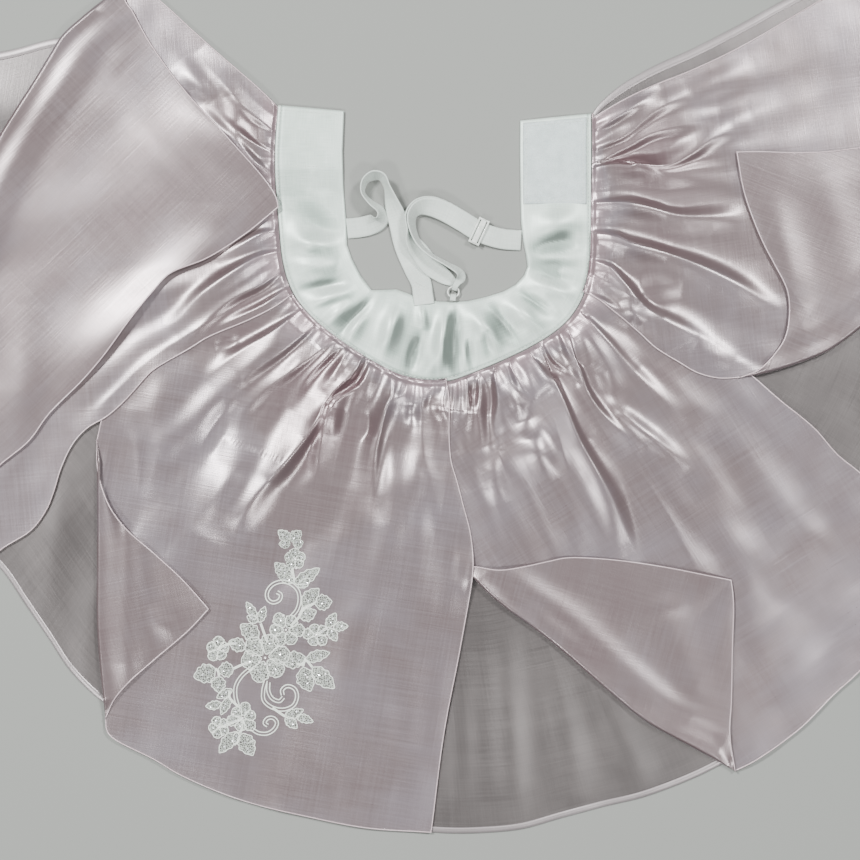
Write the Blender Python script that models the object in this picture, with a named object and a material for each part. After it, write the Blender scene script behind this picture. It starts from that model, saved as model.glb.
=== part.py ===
"""Baby girl's hanbok skirt, laid out open and flat like a fan.

Lengths in the tables are millimetres from the middle of the waistband's
horseshoe; each mesh is scaled to metres. +Z is up and the cloth rests on Z = 0.
"""

import math
from collections import namedtuple

import bmesh
import bpy
import numpy as np
from mathutils import Vector, geometry
from mathutils.bvhtree import BVHTree

for old in list(bpy.data.objects):
    bpy.data.objects.remove(old, do_unlink=True)

MM = 0.001
CENTRE_X = 5.2994
CENTRE_Y = -104.5570

SHEET = 1.6
LAYER_GAP = 0.5
SEAM_GAP = 0.35
FLAP_WALL = 1.5
FLAP_CLEAR = 0.6
FOLD_LIFT = 3.8
FOLD_INSET = 2.4

GATHERS = 56
COLUMNS = 4 * GATHERS
GATHER_HEIGHT = 4.0

BAND_WALL = 2.0
PATCH_WALL = 1.2
STRAP_WIDTH = 15.5
STRAP_WALL = 1.1
LACE_WALL = 1.2
LACE_CELL = 1.8

BandRow = namedtuple("BandRow", "outer_x outer_y inner_x inner_y")
GridRow = namedtuple("GridRow", "out stride gather")
Fold = namedtuple("Fold", "x0 y0 x1 y1 width height")
EdgePoint = namedtuple("EdgePoint", "x y")
Ribbon = namedtuple("Ribbon", "x y z across lean width")
Flower = namedtuple("Flower", "x y radius petals turn")
Leaf = namedtuple("Leaf", "x y length width angle")
Cord = namedtuple("Cord", "x0 y0 x1 y1 bow width")

BAND = [
    BandRow(-120.3, 93.3, -69.4, 88.8),
    BandRow(-122.6, 57.9, -70.6, 57.9),
    BandRow(-122.0, 30.8, -69.9, 30.8),
    BandRow(-119.9, 3.4, -67.8, 4.6),
    BandRow(-116.3, -29.3, -67.0, -14.6),
    BandRow(-109.0, -51.1, -63.1, -25.4),
    BandRow(-96.8, -67.5, -56.3, -38.3),
    BandRow(-81.7, -81.1, -48.1, -49.1),
    BandRow(-64.0, -94.0, -40.0, -48.9),
    BandRow(-47.2, -104.8, -29.3, -48.5),
    BandRow(-25.4, -115.9, -14.6, -53.6),
    BandRow(-3.0, -120.5, 2.3, -57.8),
    BandRow(12.8, -118.9, 13.9, -58.3),
    BandRow(32.7, -111.9, 26.2, -57.6),
    BandRow(56.2, -101.9, 40.8, -54.2),
    BandRow(75.2, -92.6, 53.9, -50.1),
    BandRow(91.7, -82.4, 63.0, -45.0),
    BandRow(103.6, -72.0, 69.4, -38.0),
    BandRow(112.4, -59.2, 72.2, -31.0),
    BandRow(118.4, -43.9, 71.0, -22.3),
    BandRow(121.2, -23.9, 68.7, -10.8),
    BandRow(121.7, 3.4, 67.0, 4.6),
    BandRow(121.6, 30.8, 66.6, 30.8),
    BandRow(121.6, 57.9, 66.2, 57.8),
    BandRow(121.4, 87.0, 66.4, 81.5),
]

BAND_CREASES = [
    Fold(-116, -38, -72, -24, 4.0, 2.0),
    Fold(-96, -64, -62, -44, 4.5, 2.2),
    Fold(-62, -90, -48, -58, 4.5, 2.4),
    Fold(-30, -108, -22, -60, 5.0, 2.6),
    Fold(10, -112, 18, -62, 4.5, 3.6),
    Fold(46, -100, 36, -62, 4.5, 2.4),
    Fold(78, -84, 58, -56, 5.0, 2.6),
    Fold(108, -56, 76, -38, 5.0, 3.0),
    Fold(116, -22, 76, -18, 4.5, 1.8),
]

FAR_EDGE = [
    EdgePoint(-400, 330),
    EdgePoint(-485, 190),
    EdgePoint(-508, 60),
    EdgePoint(-505, -70),
    EdgePoint(-465, -190),
    EdgePoint(-400, -290),
    EdgePoint(-330, -368),
    EdgePoint(-255, -432),
    EdgePoint(-150, -478),
    EdgePoint(0, -496),
    EdgePoint(110, -488),
    EdgePoint(210, -455),
    EdgePoint(305, -400),
    EdgePoint(390, -315),
    EdgePoint(460, -200),
    EdgePoint(505, -60),
    EdgePoint(512, 80),
    EdgePoint(495, 220),
    EdgePoint(455, 335),
]

PANEL_ROWS = [
    GridRow(0.000, 1, 0.35),
    GridRow(0.045, 1, 0.90),
    GridRow(0.115, 1, 0.95),
    GridRow(0.200, 2, 0.60),
    GridRow(0.320, 4, 0.0),
    GridRow(0.450, 4, 0.0),
    GridRow(0.600, 4, 0.0),
    GridRow(0.760, 4, 0.0),
    GridRow(0.900, 4, 0.0),
    GridRow(1.000, 4, 0.0),
]

UNDER_ROWS = [
    GridRow(0.000, 4, 0.0),
    GridRow(0.115, 4, 0.0),
    GridRow(0.320, 4, 0.0),
    GridRow(0.600, 4, 0.0),
    GridRow(0.900, 4, 0.0),
    GridRow(1.000, 4, 0.0),
]

FOLDS = [
    Fold(-58, -106, -98, -166, 8.0, 4.5),
    Fold(-98, -166, -156, -236, 10.0, 4.5),
    Fold(-34, -120, -48, -182, 8.0, 3.5),
    Fold(-8, -126, -14, -210, 9.0, 3.5),
    Fold(-104, -74, -206, -168, 11.0, 3.5),
    Fold(-86, -88, -176, -216, 11.0, 3.0),
    Fold(-128, -22, -206, -74, 9.0, 3.5),
    Fold(-126, 66, -196, 118, 9.0, 3.0),
    Fold(30, -126, 48, -196, 8.0, 4.0),
    Fold(56, -120, 84, -180, 8.0, 4.5),
    Fold(92, -106, 150, -244, 11.0, 4.5),
    Fold(104, -92, 190, -186, 10.0, 4.0),
    Fold(120, -60, 206, -134, 10.0, 3.5),
    Fold(126, -30, 214, -92, 9.0, 3.5),
    Fold(126, -8, 258, -56, 10.0, 4.0),
    Fold(126, 20, 240, 8, 10.0, 3.5),
    Fold(130, 46, 242, 84, 10.0, 3.5),
    Fold(124, 78, 226, 126, 9.0, 2.5),
    Fold(200, -200, 300, -330, 18.0, 4.0),
    Fold(-60, -230, -70, -420, 20.0, 3.0),
]

UNDER_FOLDS = [
    Fold(52, -300, 66, -450, 18.0, 3.0),
    Fold(120, -340, 160, -430, 16.0, 2.5),
    Fold(-290, -230, -300, -300, 16.0, 2.0),
    Fold(330, -110, 440, -200, 18.0, 3.0),
    Fold(-330, 60, -450, 90, 18.0, 3.0),
]

UNDER_LEAD = [
    EdgePoint(-100, 80),
    EdgePoint(-120.6, 92.0),
    EdgePoint(-172.5, 122.0),
    EdgePoint(-211.8, 138.0),
    EdgePoint(-250.0, 144.0),
    EdgePoint(-288.0, 144.8),
    EdgePoint(-334.2, 134.0),
    EdgePoint(-457.4, 123.2),
]
UNDER_HEM = [
    EdgePoint(-457.4, 123.2),
    EdgePoint(-468.9, 40.0),
    EdgePoint(-463.0, -50.0),
    EdgePoint(-431.0, -150.0),
    EdgePoint(-386.0, -214.0),
    EdgePoint(-334.2, -263.5),
    EdgePoint(-315.7, -290.3),
    EdgePoint(-296.8, -318.0),
    EdgePoint(-281.8, -340.7),
    EdgePoint(-259.5, -363.4),
    EdgePoint(-235.2, -380.0),
    EdgePoint(-196.4, -409.0),
    EdgePoint(-145.5, -429.7),
    EdgePoint(-100.0, -450.0),
    EdgePoint(-50.0, -461.0),
    EdgePoint(4.6, -467.4),
    EdgePoint(36.2, -467.4),
    EdgePoint(67.8, -464.3),
    EdgePoint(98.6, -455.8),
    EdgePoint(130.0, -447.4),
    EdgePoint(161.7, -439.7),
    EdgePoint(207.0, -422.0),
    EdgePoint(245.0, -401.0),
    EdgePoint(281.8, -376.5),
    EdgePoint(328.0, -332.6),
    EdgePoint(398.0, -250.0),
    EdgePoint(450.0, -150.0),
    EdgePoint(476.0, -40.0),
    EdgePoint(478.0, 70.0),
    EdgePoint(460.0, 170.0),
    EdgePoint(420.4, 258.7),
]
UNDER_TRAIL = [
    EdgePoint(420.4, 258.7),
    EdgePoint(345.0, 212.0),
    EdgePoint(270.3, 174.0),
    EdgePoint(235.6, 154.8),
    EdgePoint(199.4, 136.3),
    EdgePoint(170.2, 123.2),
    EdgePoint(144.8, 108.6),
    EdgePoint(127.8, 94.0),
    EdgePoint(121.2, 86.0),
    EdgePoint(100.0, 76.0),
]

P1_LEAD = [
    EdgePoint(-100, 76),
    EdgePoint(-120.4, 91.6),
    EdgePoint(-135.5, 106.3),
    EdgePoint(-164.8, 131.7),
    EdgePoint(-187.1, 151.7),
    EdgePoint(-211.8, 174.0),
    EdgePoint(-235.6, 190.0),
]
P1_FOLD = [
    EdgePoint(-235.6, 190.0),
    EdgePoint(-253.3, 175.5),
    EdgePoint(-272.6, 159.4),
    EdgePoint(-286.7, 146.3),
    EdgePoint(-297.0, 130.1),
    EdgePoint(-309.5, 109.3),
    EdgePoint(-322.6, 88.6),
    EdgePoint(-335.5, 68.0),
    EdgePoint(-362.0, 16.0),
    EdgePoint(-385.0, -52.0),
    EdgePoint(-400.0, -130.0),
    EdgePoint(-404.0, -200.0),
    EdgePoint(-398.0, -246.0),
]
P1_HEM = [EdgePoint(-398.0, -246.0), EdgePoint(-384.0, -264.0), EdgePoint(-368.8, -281.0)]
P1_TRAIL = [
    EdgePoint(-368.8, -281.0),
    EdgePoint(-334.2, -249.5),
    EdgePoint(-310.3, -234.1),
    EdgePoint(-298.8, -218.7),
    EdgePoint(-293.4, -205.6),
    EdgePoint(-287.2, -185.6),
    EdgePoint(-278.0, -167.1),
    EdgePoint(-267.2, -155.5),
    EdgePoint(-251.8, -146.3),
    EdgePoint(-237.2, -133.2),
    EdgePoint(-224.1, -118.6),
    EdgePoint(-216.4, -110.9),
    EdgePoint(-188.7, -94.5),
    EdgePoint(-174.0, -85.5),
    EdgePoint(-142.0, -72.0),
    EdgePoint(-123.2, -62.4),
    EdgePoint(-110.5, -53.5),
    EdgePoint(-92.0, -42.0),
]
P1_FLAP = [
    EdgePoint(-235.6, 190.0),
    EdgePoint(-237.9, 174.0),
    EdgePoint(-232.5, 165.6),
    EdgePoint(-225.6, 152.5),
    EdgePoint(-216.4, 137.1),
    EdgePoint(-192.5, 104.7),
    EdgePoint(-160.2, 69.3),
    EdgePoint(-127.8, 32.3),
    EdgePoint(-121.2, 20.9),
    EdgePoint(-119.8, 14.4),
    EdgePoint(-127.8, 7.7),
    EdgePoint(-144.0, -5.4),
    EdgePoint(-174.0, -24.6),
    EdgePoint(-203.3, -37.0),
    EdgePoint(-215.6, -50.0),
    EdgePoint(-232.5, -70.8),
    EdgePoint(-254.1, -100.1),
    EdgePoint(-271.0, -119.4),
    EdgePoint(-296.5, -144.8),
    EdgePoint(-311.9, -165.6),
    EdgePoint(-334.2, -184.0),
    EdgePoint(-366.0, -214.0),
    EdgePoint(-398.0, -246.0),
]

P2_LEAD = [
    EdgePoint(-90.0, -30.0),
    EdgePoint(-113.0, -43.0),
    EdgePoint(-150.0, -64.0),
    EdgePoint(-195.0, -88.0),
    EdgePoint(-230.0, -114.0),
    EdgePoint(-252.0, -138.0),
    EdgePoint(-259.8, -165.0),
]
P2_FOLD = [
    EdgePoint(-259.8, -165.0),
    EdgePoint(-259.5, -200.0),
    EdgePoint(-259.5, -249.5),
    EdgePoint(-259.5, -305.0),
    EdgePoint(-256.8, -342.7),
    EdgePoint(-253.0, -379.0),
]
P2_HEM = [
    EdgePoint(-253.0, -379.0),
    EdgePoint(-251.8, -388.9),
    EdgePoint(-246.4, -395.0),
    EdgePoint(-214.8, -411.2),
    EdgePoint(-195.6, -422.7),
    EdgePoint(-149.4, -442.0),
    EdgePoint(-100.0, -454.5),
    EdgePoint(-50.0, -464.0),
    EdgePoint(-2.3, -467.1),
]
P2_TRAIL = [
    EdgePoint(-2.3, -467.1),
    EdgePoint(7.7, -389.6),
    EdgePoint(20.0, -325.7),
    EdgePoint(29.3, -271.0),
    EdgePoint(30.0, -257.2),
    EdgePoint(27.7, -235.6),
    EdgePoint(22.3, -214.8),
    EdgePoint(17.7, -197.1),
    EdgePoint(13.1, -181.0),
    EdgePoint(11.6, -161.7),
    EdgePoint(11.6, -134.0),
    EdgePoint(9.0, -117.0),
    EdgePoint(4.0, -96.0),
]
P2_FLAP = [
    EdgePoint(-259.8, -165.0),
    EdgePoint(-259.0, -184.8),
    EdgePoint(-255.6, -201.0),
    EdgePoint(-248.7, -217.1),
    EdgePoint(-235.6, -234.1),
    EdgePoint(-214.8, -252.6),
    EdgePoint(-194.0, -271.8),
    EdgePoint(-173.5, -294.8),
    EdgePoint(-188.7, -311.1),
    EdgePoint(-214.8, -333.4),
    EdgePoint(-235.6, -351.9),
    EdgePoint(-246.4, -365.0),
    EdgePoint(-253.0, -379.0),
]

P3_LEAD = [
    EdgePoint(-6.0, -96.0),
    EdgePoint(-9.0, -124.0),
    EdgePoint(-8.0, -160.0),
    EdgePoint(0.0, -200.0),
    EdgePoint(8.0, -235.0),
    EdgePoint(20.0, -262.0),
]
P3_FOLD = [
    EdgePoint(20.0, -262.0),
    EdgePoint(30.8, -271.8),
    EdgePoint(42.4, -283.4),
    EdgePoint(56.2, -294.9),
    EdgePoint(72.4, -306.5),
    EdgePoint(92.4, -321.9),
    EdgePoint(114.7, -341.1),
    EdgePoint(137.8, -361.1),
    EdgePoint(161.7, -380.4),
    EdgePoint(185.6, -394.2),
    EdgePoint(208.7, -406.6),
    EdgePoint(231.8, -419.7),
]
P3_HEM = [
    EdgePoint(231.8, -419.7),
    EdgePoint(240.2, -415.8),
    EdgePoint(251.0, -409.6),
    EdgePoint(281.8, -387.3),
    EdgePoint(307.2, -361.9),
    EdgePoint(328.0, -342.7),
    EdgePoint(365.0, -299.0),
    EdgePoint(397.0, -254.0),
]
P3_TRAIL = [
    EdgePoint(397.0, -254.0),
    EdgePoint(362.0, -219.0),
    EdgePoint(326.5, -188.7),
    EdgePoint(311.1, -176.3),
    EdgePoint(292.6, -155.5),
    EdgePoint(266.4, -134.0),
    EdgePoint(241.0, -112.0),
    EdgePoint(205.0, -86.0),
    EdgePoint(165.0, -62.0),
    EdgePoint(120.0, -40.0),
    EdgePoint(98.0, -32.0),
]
P3_FLAP = [
    EdgePoint(20.0, -262.0),
    EdgePoint(32.0, -262.4),
    EdgePoint(50.0, -264.9),
    EdgePoint(67.8, -262.6),
    EdgePoint(86.2, -258.7),
    EdgePoint(101.6, -255.6),
    EdgePoint(117.8, -255.6),
    EdgePoint(146.3, -258.0),
    EdgePoint(177.1, -262.6),
    EdgePoint(208.7, -268.7),
    EdgePoint(228.4, -272.6),
    EdgePoint(230.2, -288.8),
    EdgePoint(229.5, -328.0),
    EdgePoint(228.7, -367.3),
    EdgePoint(227.4, -391.2),
    EdgePoint(231.8, -419.7),
]

P4_LEAD = [
    EdgePoint(92.0, -42.0),
    EdgePoint(114.4, -50.0),
    EdgePoint(126.3, -56.2),
    EdgePoint(137.1, -64.7),
    EdgePoint(148.6, -73.9),
    EdgePoint(158.6, -82.4),
    EdgePoint(170.9, -93.7),
    EdgePoint(188.7, -104.7),
    EdgePoint(203.3, -113.0),
    EdgePoint(219.5, -117.0),
    EdgePoint(236.0, -116.4),
]
P4_FOLD = [
    EdgePoint(236.0, -116.4),
    EdgePoint(250.0, -114.4),
    EdgePoint(266.4, -110.3),
    EdgePoint(287.2, -103.2),
    EdgePoint(303.4, -96.3),
    EdgePoint(318.0, -86.5),
    EdgePoint(328.0, -78.8),
    EdgePoint(366.0, -46.0),
    EdgePoint(405.0, -6.0),
    EdgePoint(438.0, 30.0),
    EdgePoint(463.0, 62.0),
]
P4_HEM = [
    EdgePoint(463.0, 62.0),
    EdgePoint(462.0, 110.0),
    EdgePoint(448.0, 166.0),
    EdgePoint(404.0, 234.0),
]
P4_TRAIL = [
    EdgePoint(404.0, 234.0),
    EdgePoint(320.0, 187.0),
    EdgePoint(235.6, 137.8),
    EdgePoint(197.1, 119.4),
    EdgePoint(170.2, 108.6),
    EdgePoint(144.8, 96.3),
    EdgePoint(121.8, 83.0),
    EdgePoint(98.0, 70.0),
]
P4_FLAP = [
    EdgePoint(236.0, -116.4),
    EdgePoint(250.0, -110.8),
    EdgePoint(263.3, -97.0),
    EdgePoint(270.3, -85.5),
    EdgePoint(273.4, -67.8),
    EdgePoint(271.8, -50.0),
    EdgePoint(261.8, -29.3),
    EdgePoint(254.9, -16.2),
    EdgePoint(247.2, 1.5),
    EdgePoint(238.7, 26.2),
    EdgePoint(233.0, 56.8),
    EdgePoint(251.8, 57.0),
    EdgePoint(274.1, 56.2),
    EdgePoint(303.4, 57.0),
    EdgePoint(328.0, 60.0),
    EdgePoint(400.0, 66.0),
    EdgePoint(463.0, 62.0),
]

Flap = namedtuple("Flap", "fold edge along across start end")
Panel = namedtuple("Panel", "name lead fold hem trail flap below")

PANELS = [
    Panel(
        "panel_front_right", P3_LEAD, P3_FOLD, P3_HEM, P3_TRAIL,
        Flap(P3_FOLD, P3_FLAP, 12, 6, 0.055, 0.975), ()
    ),
    Panel(
        "panel_front_left", P2_LEAD, P2_FOLD, P2_HEM, P2_TRAIL,
        Flap(P2_FOLD, P2_FLAP, 11, 5, 0.14, 0.97), ("panel_front_right",)
    ),
    Panel(
        "panel_back_right", P4_LEAD, P4_FOLD, P4_HEM, P4_TRAIL,
        Flap(P4_FOLD, P4_FLAP, 14, 7, 0.045, 0.985), ("panel_front_right",)
    ),
    Panel(
        "panel_back_left", P1_LEAD, P1_FOLD, P1_HEM, P1_TRAIL,
        Flap(P1_FOLD, P1_FLAP, 18, 8, 0.02, 0.985), ("panel_front_left",)
    ),
]


def material(name, colour, rough):
    """A plain Principled material for one sub-part."""
    made = bpy.data.materials.new(name)
    made.use_nodes = True
    shader = made.node_tree.nodes["Principled BSDF"]
    shader.inputs["Base Color"].default_value = (*colour, 1.0)
    shader.inputs["Roughness"].default_value = rough
    return made


def mesh_object(name, points, faces, made=None):
    """A mesh object from millimetre points, faces turned outward."""
    mesh = bpy.data.meshes.new(name)
    shift = np.array([CENTRE_X, CENTRE_Y, 0.0])
    placed = (np.asarray(points, float) - shift) * MM
    mesh.from_pydata([tuple(p) for p in placed], [], [tuple(f) for f in faces])
    work = bmesh.new()
    work.from_mesh(mesh)
    bmesh.ops.recalc_face_normals(work, faces=work.faces)
    work.to_mesh(mesh)
    work.free()
    mesh.update()
    obj = bpy.data.objects.new(name, mesh)
    bpy.context.collection.objects.link(obj)
    if made is not None:
        mesh.materials.append(made)
    return obj


def spline(rows, step):
    """Points spaced evenly, about step apart, on a smooth curve through the rows."""
    given = np.array([tuple(r) for r in rows], float)
    ends = np.vstack([2 * given[0] - given[1], given, 2 * given[-1] - given[-2]])
    gaps = np.linalg.norm(np.diff(ends, axis=0), axis=1) ** 0.5
    knots = np.concatenate([[0.0], np.cumsum(gaps)])
    dense = []
    for i in range(1, len(ends) - 2):
        for t in np.linspace(knots[i], knots[i + 1], 24, endpoint=False):
            a = [
                ends[j] + (ends[j + 1] - ends[j]) * (t - knots[j]) / gaps[j]
                for j in range(i - 1, i + 2)
            ]
            b = [
                a[j]
                + (a[j + 1] - a[j])
                * (t - knots[i - 1 + j])
                / (knots[i + 1 + j] - knots[i - 1 + j])
                for j in range(2)
            ]
            dense.append(b[0] + (b[1] - b[0]) * (t - knots[i]) / gaps[i])
    dense.append(ends[-2])
    dense = np.array(dense)
    count = max(2, int(round(length_of(dense) / step)))
    return resample(dense, count + 1)


def length_of(points):
    return np.linalg.norm(np.diff(points, axis=0), axis=1).sum()


def resample(points, count, first=0.0, last=1.0):
    """Points at even arc length between two fractions of a polyline."""
    steps = np.linalg.norm(np.diff(points, axis=0), axis=1)
    along = np.concatenate([[0.0], np.cumsum(steps)])
    want = np.linspace(first, last, count) * along[-1]
    return np.column_stack([np.interp(want, along, points[:, k]) for k in range(points.shape[1])])


def noise(k, seed):
    """A repeatable value between 0 and 1 for a whole number."""
    value = math.sin(k * 12.9898 + seed * 78.233) * 43758.5453
    return value - math.floor(value)


def ridge_height(folds, x, y):
    """Height of the soft ridges that the table names, at one place."""
    total = 0.0
    for fold in folds:
        ax, ay = fold.x1 - fold.x0, fold.y1 - fold.y0
        t = ((x - fold.x0) * ax + (y - fold.y0) * ay) / (ax * ax + ay * ay)
        inside = min(1.0, max(0.0, t))
        near = math.hypot(x - fold.x0 - inside * ax, y - fold.y0 - inside * ay)
        taper = math.sin(math.pi * (0.12 + 0.76 * inside))
        share = max(0.0, 1.0 - (near / (2.0 * fold.width)) ** 2)
        total += fold.height * taper * share * share
    return total


def band_outer():
    """The rows of the band's outer edge, where the skirt is sewn on."""
    return [EdgePoint(r.outer_x, r.outer_y) for r in BAND]


def fan_grid():
    """Where each gather column starts at the seam and where it points to."""
    seam = spline(band_outer(), 558.0 / COLUMNS)
    seam = resample(seam, COLUMNS + 1)
    tangent = np.gradient(seam, axis=0)
    tangent /= np.linalg.norm(tangent, axis=1)[:, None]
    outward = np.column_stack([tangent[:, 1], -tangent[:, 0]])
    seam = seam + outward * SEAM_GAP
    far = resample(spline(FAR_EDGE, 8.0), COLUMNS + 1)
    return seam, far


SEAM, FAR = fan_grid()


def fan_points(rows):
    """Vertex places of a fan sheet, row by row: (x, y, column, grid row)."""
    table = []
    for row in rows:
        for k in range(0, COLUMNS + 1, row.stride):
            spot = SEAM[k] * (1.0 - row.out) + FAR[k] * row.out
            table.append((spot[0], spot[1], k, row))
    return table


def fan_triangles(rows):
    """Triangles of the fan, with three to a cell where the columns halve."""
    starts = [0]
    for row in rows:
        starts.append(starts[-1] + COLUMNS // row.stride + 1)
    faces = []
    for i in range(len(rows) - 1):
        a, b = starts[i], starts[i + 1]
        cells = COLUMNS // rows[i + 1].stride
        same = rows[i].stride == rows[i + 1].stride
        for j in range(cells):
            if same:
                faces.append((a + j, a + j + 1, b + j))
                faces.append((a + j + 1, b + j + 1, b + j))
            else:
                faces.append((a + 2 * j, a + 2 * j + 1, b + j))
                faces.append((a + 2 * j + 1, b + j + 1, b + j))
                faces.append((a + 2 * j + 1, a + 2 * j + 2, b + j + 1))
    return faces, starts


def rim_of(faces):
    """Directed edges that have a triangle on one side only."""
    seen = set()
    for f in faces:
        for i in range(3):
            seen.add((f[i], f[(i + 1) % 3]))
    return [(a, b) for a, b in seen if (b, a) not in seen]


def thick_sheet(name, xy, low, faces, wall, made):
    """A closed sheet: the triangles at height low, and again one wall higher."""
    count = len(xy)
    bottom = np.column_stack([xy, low])
    top = np.column_stack([xy, low + wall])
    solid = [tuple(reversed(f)) for f in faces]
    solid += [tuple(i + count for i in f) for f in faces]
    for a, b in rim_of(faces):
        solid.append((a, b, b + count))
        solid.append((a, b + count, a + count))
    return mesh_object(name, np.vstack([bottom, top]), solid, made)


def outline(panel_edges, inset_edge=None):
    """One polygon from edge tables, each smooth, with corners between them."""
    loop = []
    for edge in panel_edges:
        points = spline(edge, 20.0)
        if edge is inset_edge:
            tangent = np.gradient(points, axis=0)
            tangent /= np.linalg.norm(tangent, axis=1)[:, None]
            inward = np.column_stack([-tangent[:, 1], tangent[:, 0]])
            points = points + inward * FOLD_INSET
        for p in points:
            if not loop or math.dist(loop[-1], p) > 1.5:
                loop.append(tuple(p))
    while math.dist(loop[0], loop[-1]) < 1.5:
        loop.pop()
    return loop


def prism(name, loop, low, high):
    """An upright cutter over a polygon."""
    count = len(loop)
    points = [(x, y, low) for x, y in loop] + [(x, y, high) for x, y in loop]
    faces = [tuple(range(count - 1, -1, -1)), tuple(range(count, 2 * count))]
    for i in range(count):
        j = (i + 1) % count
        faces.append((i, j, j + count, i + count))
    return mesh_object(name, points, faces)


def boolean(obj, other, operation):
    """Joins or cuts obj with other, bakes the result and removes other."""
    step = obj.modifiers.new("step", "BOOLEAN")
    step.operation = operation
    step.solver = "EXACT"
    step.object = other
    graph = bpy.context.evaluated_depsgraph_get()
    baked = bpy.data.meshes.new_from_object(obj.evaluated_get(graph))
    obj.modifiers.clear()
    obj.data = baked
    bpy.data.objects.remove(other, do_unlink=True)
    return obj


def tree_of(obj):
    """A ray tree over an object's triangles, in millimetres of the tables."""
    mesh = obj.data
    mesh.calc_loop_triangles()
    shift = Vector((CENTRE_X, CENTRE_Y, 0.0))
    points = [v.co / MM + shift for v in mesh.vertices]
    return BVHTree.FromPolygons(points, [tuple(t.vertices) for t in mesh.loop_triangles])


def top_at(tree, x, y, missing=None):
    hit = tree.ray_cast(Vector((x, y, 200.0)), Vector((0.0, 0.0, -1.0)))[0]
    return missing if hit is None else hit.z


def inside(loop, x, y):
    """Whether a place is within a polygon."""
    found = False
    for (ax, ay), (bx, by) in zip(loop, loop[1:] + loop[:1]):
        if (ay > y) != (by > y) and x < (bx - ax) * (y - ay) / (by - ay) + ax:
            found = not found
    return found


def distance_to(loop, x, y):
    """How far a place is outside a polygon, 0 within it."""
    if inside(loop, x, y):
        return 0.0
    best = 1e9
    for (ax, ay), (bx, by) in zip(loop, loop[1:] + loop[:1]):
        dx, dy = bx - ax, by - ay
        t = ((x - ax) * dx + (y - ay) * dy) / max(1e-9, dx * dx + dy * dy)
        t = min(1.0, max(0.0, t))
        best = min(best, math.hypot(x - ax - t * dx, y - ay - t * dy))
    return best


ORGANZA = material("organza_double", (0.60, 0.44, 0.49), 0.45)
SHEER = material("organza_single", (0.50, 0.45, 0.46), 0.5)
SATIN = material("satin", (0.80, 0.84, 0.80), 0.4)
ELASTIC = material("elastic", (0.74, 0.76, 0.72), 0.7)
TOUCH = material("touch_fastening", (0.76, 0.79, 0.79), 0.9)
PLASTIC = material("slider_plastic", (0.78, 0.80, 0.76), 0.35)
LACE = material("lace", (0.70, 0.72, 0.68), 0.8)


def make_underskirt():
    """The wide single layer that rests on the surface."""
    table = fan_points(UNDER_ROWS)
    faces, _ = fan_triangles(UNDER_ROWS)
    xy = np.array([(x, y) for x, y, _, _ in table])
    low = np.array([ridge_height(UNDER_FOLDS, x, y) for x, y in xy])
    whole = thick_sheet("whole_fan", xy, low, faces, SHEET, None)
    tree = tree_of(whole)
    bpy.data.objects.remove(whole, do_unlink=True)
    obj = thick_sheet("underskirt", xy, low, faces, SHEET, SHEER)
    loop = outline([UNDER_LEAD, UNDER_HEM, UNDER_TRAIL])
    boolean(obj, prism("cutter", loop, -5.0, 60.0), "INTERSECT")
    return obj, tree


UNDERSKIRT, UNDER_TREE = make_underskirt()


def panel_heights():
    """Height of the first panel layer over the underskirt at each fan vertex."""
    table = fan_points(PANEL_ROWS)
    low = []
    for x, y, k, row in table:
        under = top_at(UNDER_TREE, x, y)
        if under is None:
            under = UNDER_TREE.find_nearest(Vector((x, y, 5.0)))[0].z
            under = max(under, SHEET)
        crest = (0.0, 0.5, 1.0, 0.5)[k % 4]
        size = GATHER_HEIGHT * (0.6 + 0.5 * noise(k // 4, 1.0))
        gather = crest * size * row.gather
        settle = min(1.0, 0.25 + row.out / 0.12)
        folds = ridge_height(FOLDS, x, y) * settle
        low.append(under + LAYER_GAP + gather + folds)
    return table, np.array(low)


TABLE, FIRST_LAYER = panel_heights()
TRIANGLES, _ = fan_triangles(PANEL_ROWS)
PLACES = np.array([(x, y) for x, y, _, _ in TABLE])


def cell_size(row):
    """How far apart the fan's vertices are at one grid row."""
    return 6.0 + 62.0 * row.out ** 0.8


def panel_body(panel, loops):
    """One panel's laid part, cut from the fan and lifted over what it lies on."""
    low = FIRST_LAYER.copy()
    for name in panel.below:
        for i, (x, y, _, row) in enumerate(TABLE):
            away = distance_to(loops[name], x, y) - cell_size(row)
            share = min(1.0, max(0.0, 1.0 - away / 30.0))
            low[i] += (SHEET + LAYER_GAP) * share * share * (3.0 - 2.0 * share)
    obj = thick_sheet(panel.name, PLACES, low, TRIANGLES, SHEET, ORGANZA)
    boolean(obj, prism("cutter", loops[panel.name], -5.0, 60.0), "INTERSECT")
    return obj


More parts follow.
